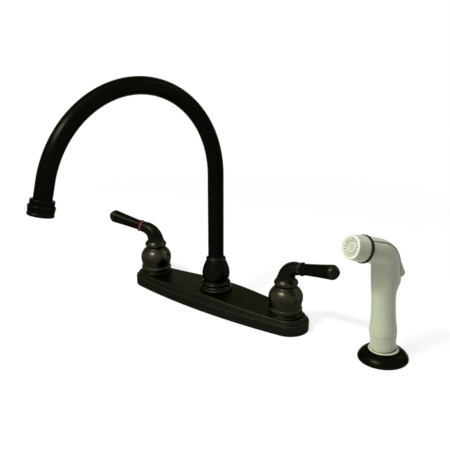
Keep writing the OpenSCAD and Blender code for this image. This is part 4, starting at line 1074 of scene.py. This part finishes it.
def makeTrigger(v, columns=64):
    first = v["first"]
    pin = sprayBendEnd + v["pinPast"]
    last = neckAt - v["endGap"]
    stations = [
        [first, 17.2, 22.8, 6.6], [first + 1.6, 15.2, 23.6, 7.9], [96, 13.2, 22.2, 8], [101, 12.3, 19.9, 8],
        [sprayBend, 11.7, 17.2, 8], [sprayBend * 0.67 + sprayBendEnd * 0.33, 11.2, 14.6, 8],
        [sprayBend * 0.34 + sprayBendEnd * 0.66, 10.6, 13.2, 8], [sprayBendEnd, 10, 12.8, 8],
        [pin - 3, 9.4, 12.9, 8], [pin + 3, 9.2, 12.8, 8], [last - 1, 9.2, 12.6, 7.8], [last, 9.8, 12.2, 7]]
    curve = curveThrough(stations, 8)
    curve = np.concatenate([curve[:1], curve, curve[-1:]])
    size = np.concatenate([[0], np.ones(len(curve) - 2), [0]])[:, None]
    a = anglesRound(columns)
    middle = (curve[:, 1:2] + curve[:, 2:3]) / 2
    half = (curve[:, 2:3] - curve[:, 1:2]) / 2 * size
    across = curve[:, 3:] * size * np.sign(np.sin(a)) * np.abs(np.sin(a)) ** 0.45
    sag = np.where(np.cos(a) < 0, v["sag"] * across**2, 0) * size
    high = middle - half * np.sign(np.cos(a)) * np.abs(np.cos(a)) ** 0.6 - sag
    centre, thumb = alongArm(curve[:, 0], *sprayArm)
    grid = centre[:, None] - high[..., None] * thumb[:, None] + across[..., None] * yAxis
    hang = v["hang"] * np.clip(1 - (curve[:, :1] - first) / v["hangReach"], 0, 1) * (high - curve[:, 2:3])
    grid = grid + hang[..., None] * zAxis
    makePiece("sprayTrigger", atSprayer(grid), "white_plastic", "trigger", ["spray_trigger"])


def makeSprayCollar(v):
    r = v["grip"] + 0.55
    top = v["seam"] - 0.12
    start = [[8, 10]]
    socket = start + [[8, 2], [9.7, 2], [10.4, 13.35], [r - 0.6, 13.35], [r, 13.95]]
    swell = curveThrough([[r, 14.6], [r, v["collarZ"]], [r + 0.38, 26], [r + 0.58, top - 0.4]])
    outline = easedOutline([socket, swell, [[r + 0.25, top], [8, top]] + start], 0.1)[0]
    makePiece("sprayCollar", atSprayer(turned(outline)), "white_plastic", "sprayer", ["spray_collar"])


# The ring's outer lips lap over the rims of nozzle and body, and its root fills the gap between them
def makeNeckRing(v):
    r = v["ringR"]
    wire = v["ringWire"]
    lip = v["ringLip"]
    root = r - 2 * wire
    lap = r - 0.82
    below = [[root, 0], [root, -wire + 0.05], [lap, -wire + 0.05]]
    crown = [[lap, -lip], [r - 0.3, -lip], [r, -lip + 0.5], [r, lip - 0.5], [r - 0.3, lip], [lap, lip]]
    above = [[lap, wire - 0.05], [root, wire - 0.05], [root, 0]]
    outline = easedOutline([below, crown, above], 0.09)[0]
    grid = atHead(turned(outline), v["headReach"] - v["nozzleL"] - wire)
    makePiece("neckRing", grid, "rubber", "sprayer", ["neck_ring"])


def makeNozzle(v):
    r = v["nozzleR"]
    length = v["nozzleL"]
    bore = v["nozzleBore"]
    socket = v["nozzleSocketR"]
    start = [[socket, 3]]
    wall = start + [[socket, 0]] + around(r, 0, [[0.8, 0], [1.05, 0.3], [1.05, 2.2]])
    taper = curveThrough([[r + 0.95, 3], [r + 0.6, 6.5], [r + 0.25, 10.5], [r + 0.1, length - 2]])
    edge = arcPoints([r - 0.7, length - 0.7], 0.7, 0, 90)
    seat = length - v["faceSeatL"]
    recess = [[v["faceSeatR"], length], [v["faceSeatR"], seat], [bore, seat]]
    inside = [[bore, v["nozzleSocketL"]], [socket, v["nozzleSocketL"]]] + start
    outline = easedOutline([wall, taper, edge, recess, inside], 0.1)[0]
    grid = atHead(turned(outline), v["headReach"] - length)
    # Painted highlight: the nozzle's front lip is whitened
    pale = np.clip((outline[:, 1:] - length + 2.5) / 2.5, 0, 1)
    makePiece("sprayNozzle", grid, "white_plastic", "sprayer", ["spray_nozzle"], fresh=pale)


# Face: a turned disc, dished inside its rim, with a groove, a raised ring and a flat middle. A ring of square
# jets is pressed into it.
faceShape = {
    "thick": 2.1,
    "rimR": 10.3,
    "setBack": 0.5,
    "dish": 1.0,
    "jets": 17,
    "jetAt": 8.3,
    "jetHalf": 0.6,
    "jetDepth": 1.3,
}


def makeSprayFace(v):
    thick = v["thick"]
    rimR = v["rimR"]
    jetAt = v["jetAt"]
    front = around(0, thick, [[rimR, -0.1], [rimR - 0.1, 0], [6.7, 0], [6.4, -0.7], [5.7, -0.7], [5.3, 0.2],
                              [4.9, 0.4], [3.9, 0.4], [3.5, -0.1], [0, -0.1]])
    outline = easedOutline([[[0, 0], [rimR, 0]], front], 0.08, 12)[0]
    # The rows across the jets take the place of the flat stretch that they are pressed into
    jetRows = jetAt + (v["jetHalf"] - 0.02) * np.array([1, 1, 0, -1, -1]) + [0.04, 0, 0, 0, -0.04]
    behind = outline[:, 1] < 1.2
    outside = outline[(outline[:, 0] > jetRows[0] + 0.03) | behind]
    inside = outline[(outline[:, 0] < jetRows[-1] - 0.03) & ~behind]
    outline = np.concatenate([outside, np.stack([jetRows, 0 * jetRows + thick], -1), inside])
    step = 360 / v["jets"]
    half = math.degrees(v["jetHalf"] / jetAt)
    offsets = np.array([-half - 0.15, -half + 0.15, 0, half - 0.15, half + 0.15, 6.6, step / 2, step - 6.6])
    degrees = (offsets + step * np.arange(v["jets"])[:, None]).reshape(-1)
    radius = outline[:, :1]
    inFront = outline[:, 1:] > 1.2
    inJet = np.tile(np.abs(offsets) < half, v["jets"])[None] & (np.abs(radius - jetAt) < v["jetHalf"] - 0.01)
    inJet &= inFront
    # Inside the rim the front sinks along a cone as far as the groove
    sink = v["dish"] * np.clip((9.7 - radius) / 3.3, 0, 1) * inFront
    z = outline[:, 1:] - sink - v["jetDepth"] * inJet
    grid = radius[..., None] * ringAt(np.radians(degrees)) + z[..., None] * zAxis
    placed = atHead(grid, sprayShape["headReach"] - v["setBack"] - thick)
    # Painted shade darkens the jets, the groove and the middle disc, and a painted highlight whitens the face,
    # most at its rim
    shade = 0.22 * ((radius < 3.6) | (np.abs(radius - 6.05) < 0.5)) * (outline[:, 1:] > 1)
    marks = {"hollow": np.maximum(inJet, shade), "fresh": 0.35 + 0.65 * np.clip((radius - 8.9) / 0.6, 0, 1)}
    makePiece("sprayFace", placed, "white_plastic", "sprayer", ["spray_face"], sharp=30, **marks)


makeSprayBody(sprayShape)
makeTrigger(triggerShape)
makeSprayCollar(sprayShape)
makeNeckRing(sprayShape)
makeNozzle(sprayShape)
makeSprayFace(faceShape)
print("sprayer and its holder are made")

# Threads: foot, shank radius, pitch, slot of the metal and the stretches that nuts and grooves leave clear
threads = {
    "hotShank": (hotFoot, 10.3, 1.81, "brass", [[-57.4, -28.3], [-13.6, -0.5]]),
    "coldShank": (coldFoot, 10.3, 1.81, "brass", [[-57.4, -28.3], [-13.6, -0.5]]),
    "outletNipple": (hotFoot * 0, 6.85, 1.34, "brass", [[-37.5, -2.3]]),
    "holderShank": (holderFoot, 15.0, 1.81, "bronze", [[-41, -26.3], [-13.6, -0.5]]),
}


# A wave winds round the shank, one turn to each pitch, and fades at both ends
def makeThread(name, foot, radius, low, high, pitch, slot, columns=48):
    z = np.arange(low, high, pitch / 7)[:, None]
    a = anglesRound(columns)
    fade = np.clip(np.minimum(z - low, high - z) / pitch, 0, 1)
    crest = radius + 0.02 + 0.34 * fade * (0.5 + 0.5 * np.cos(tau * z / pitch - a))
    ring = ringAt(a)
    grid = crest[..., None] * ring + z[..., None] * zAxis
    inner = (radius - 0.4) * ring
    first = (inner + zAxis * low)[None]
    last = (inner + zAxis * z[-1])[None]
    wear = np.concatenate([[[0.0]], 0.4 * fade, [[0.0], [0.0]]])
    makePiece(name, foot + np.concatenate([first, grid, last, first]), slot, "base", (), wear)


for name, (foot, radius, pitch, slot, runs) in threads.items():
    for number, (low, high) in enumerate(runs):
        makeThread(name + "Thread" + str(number + 1), foot, radius, low, high, pitch, slot)
print("threads are made")
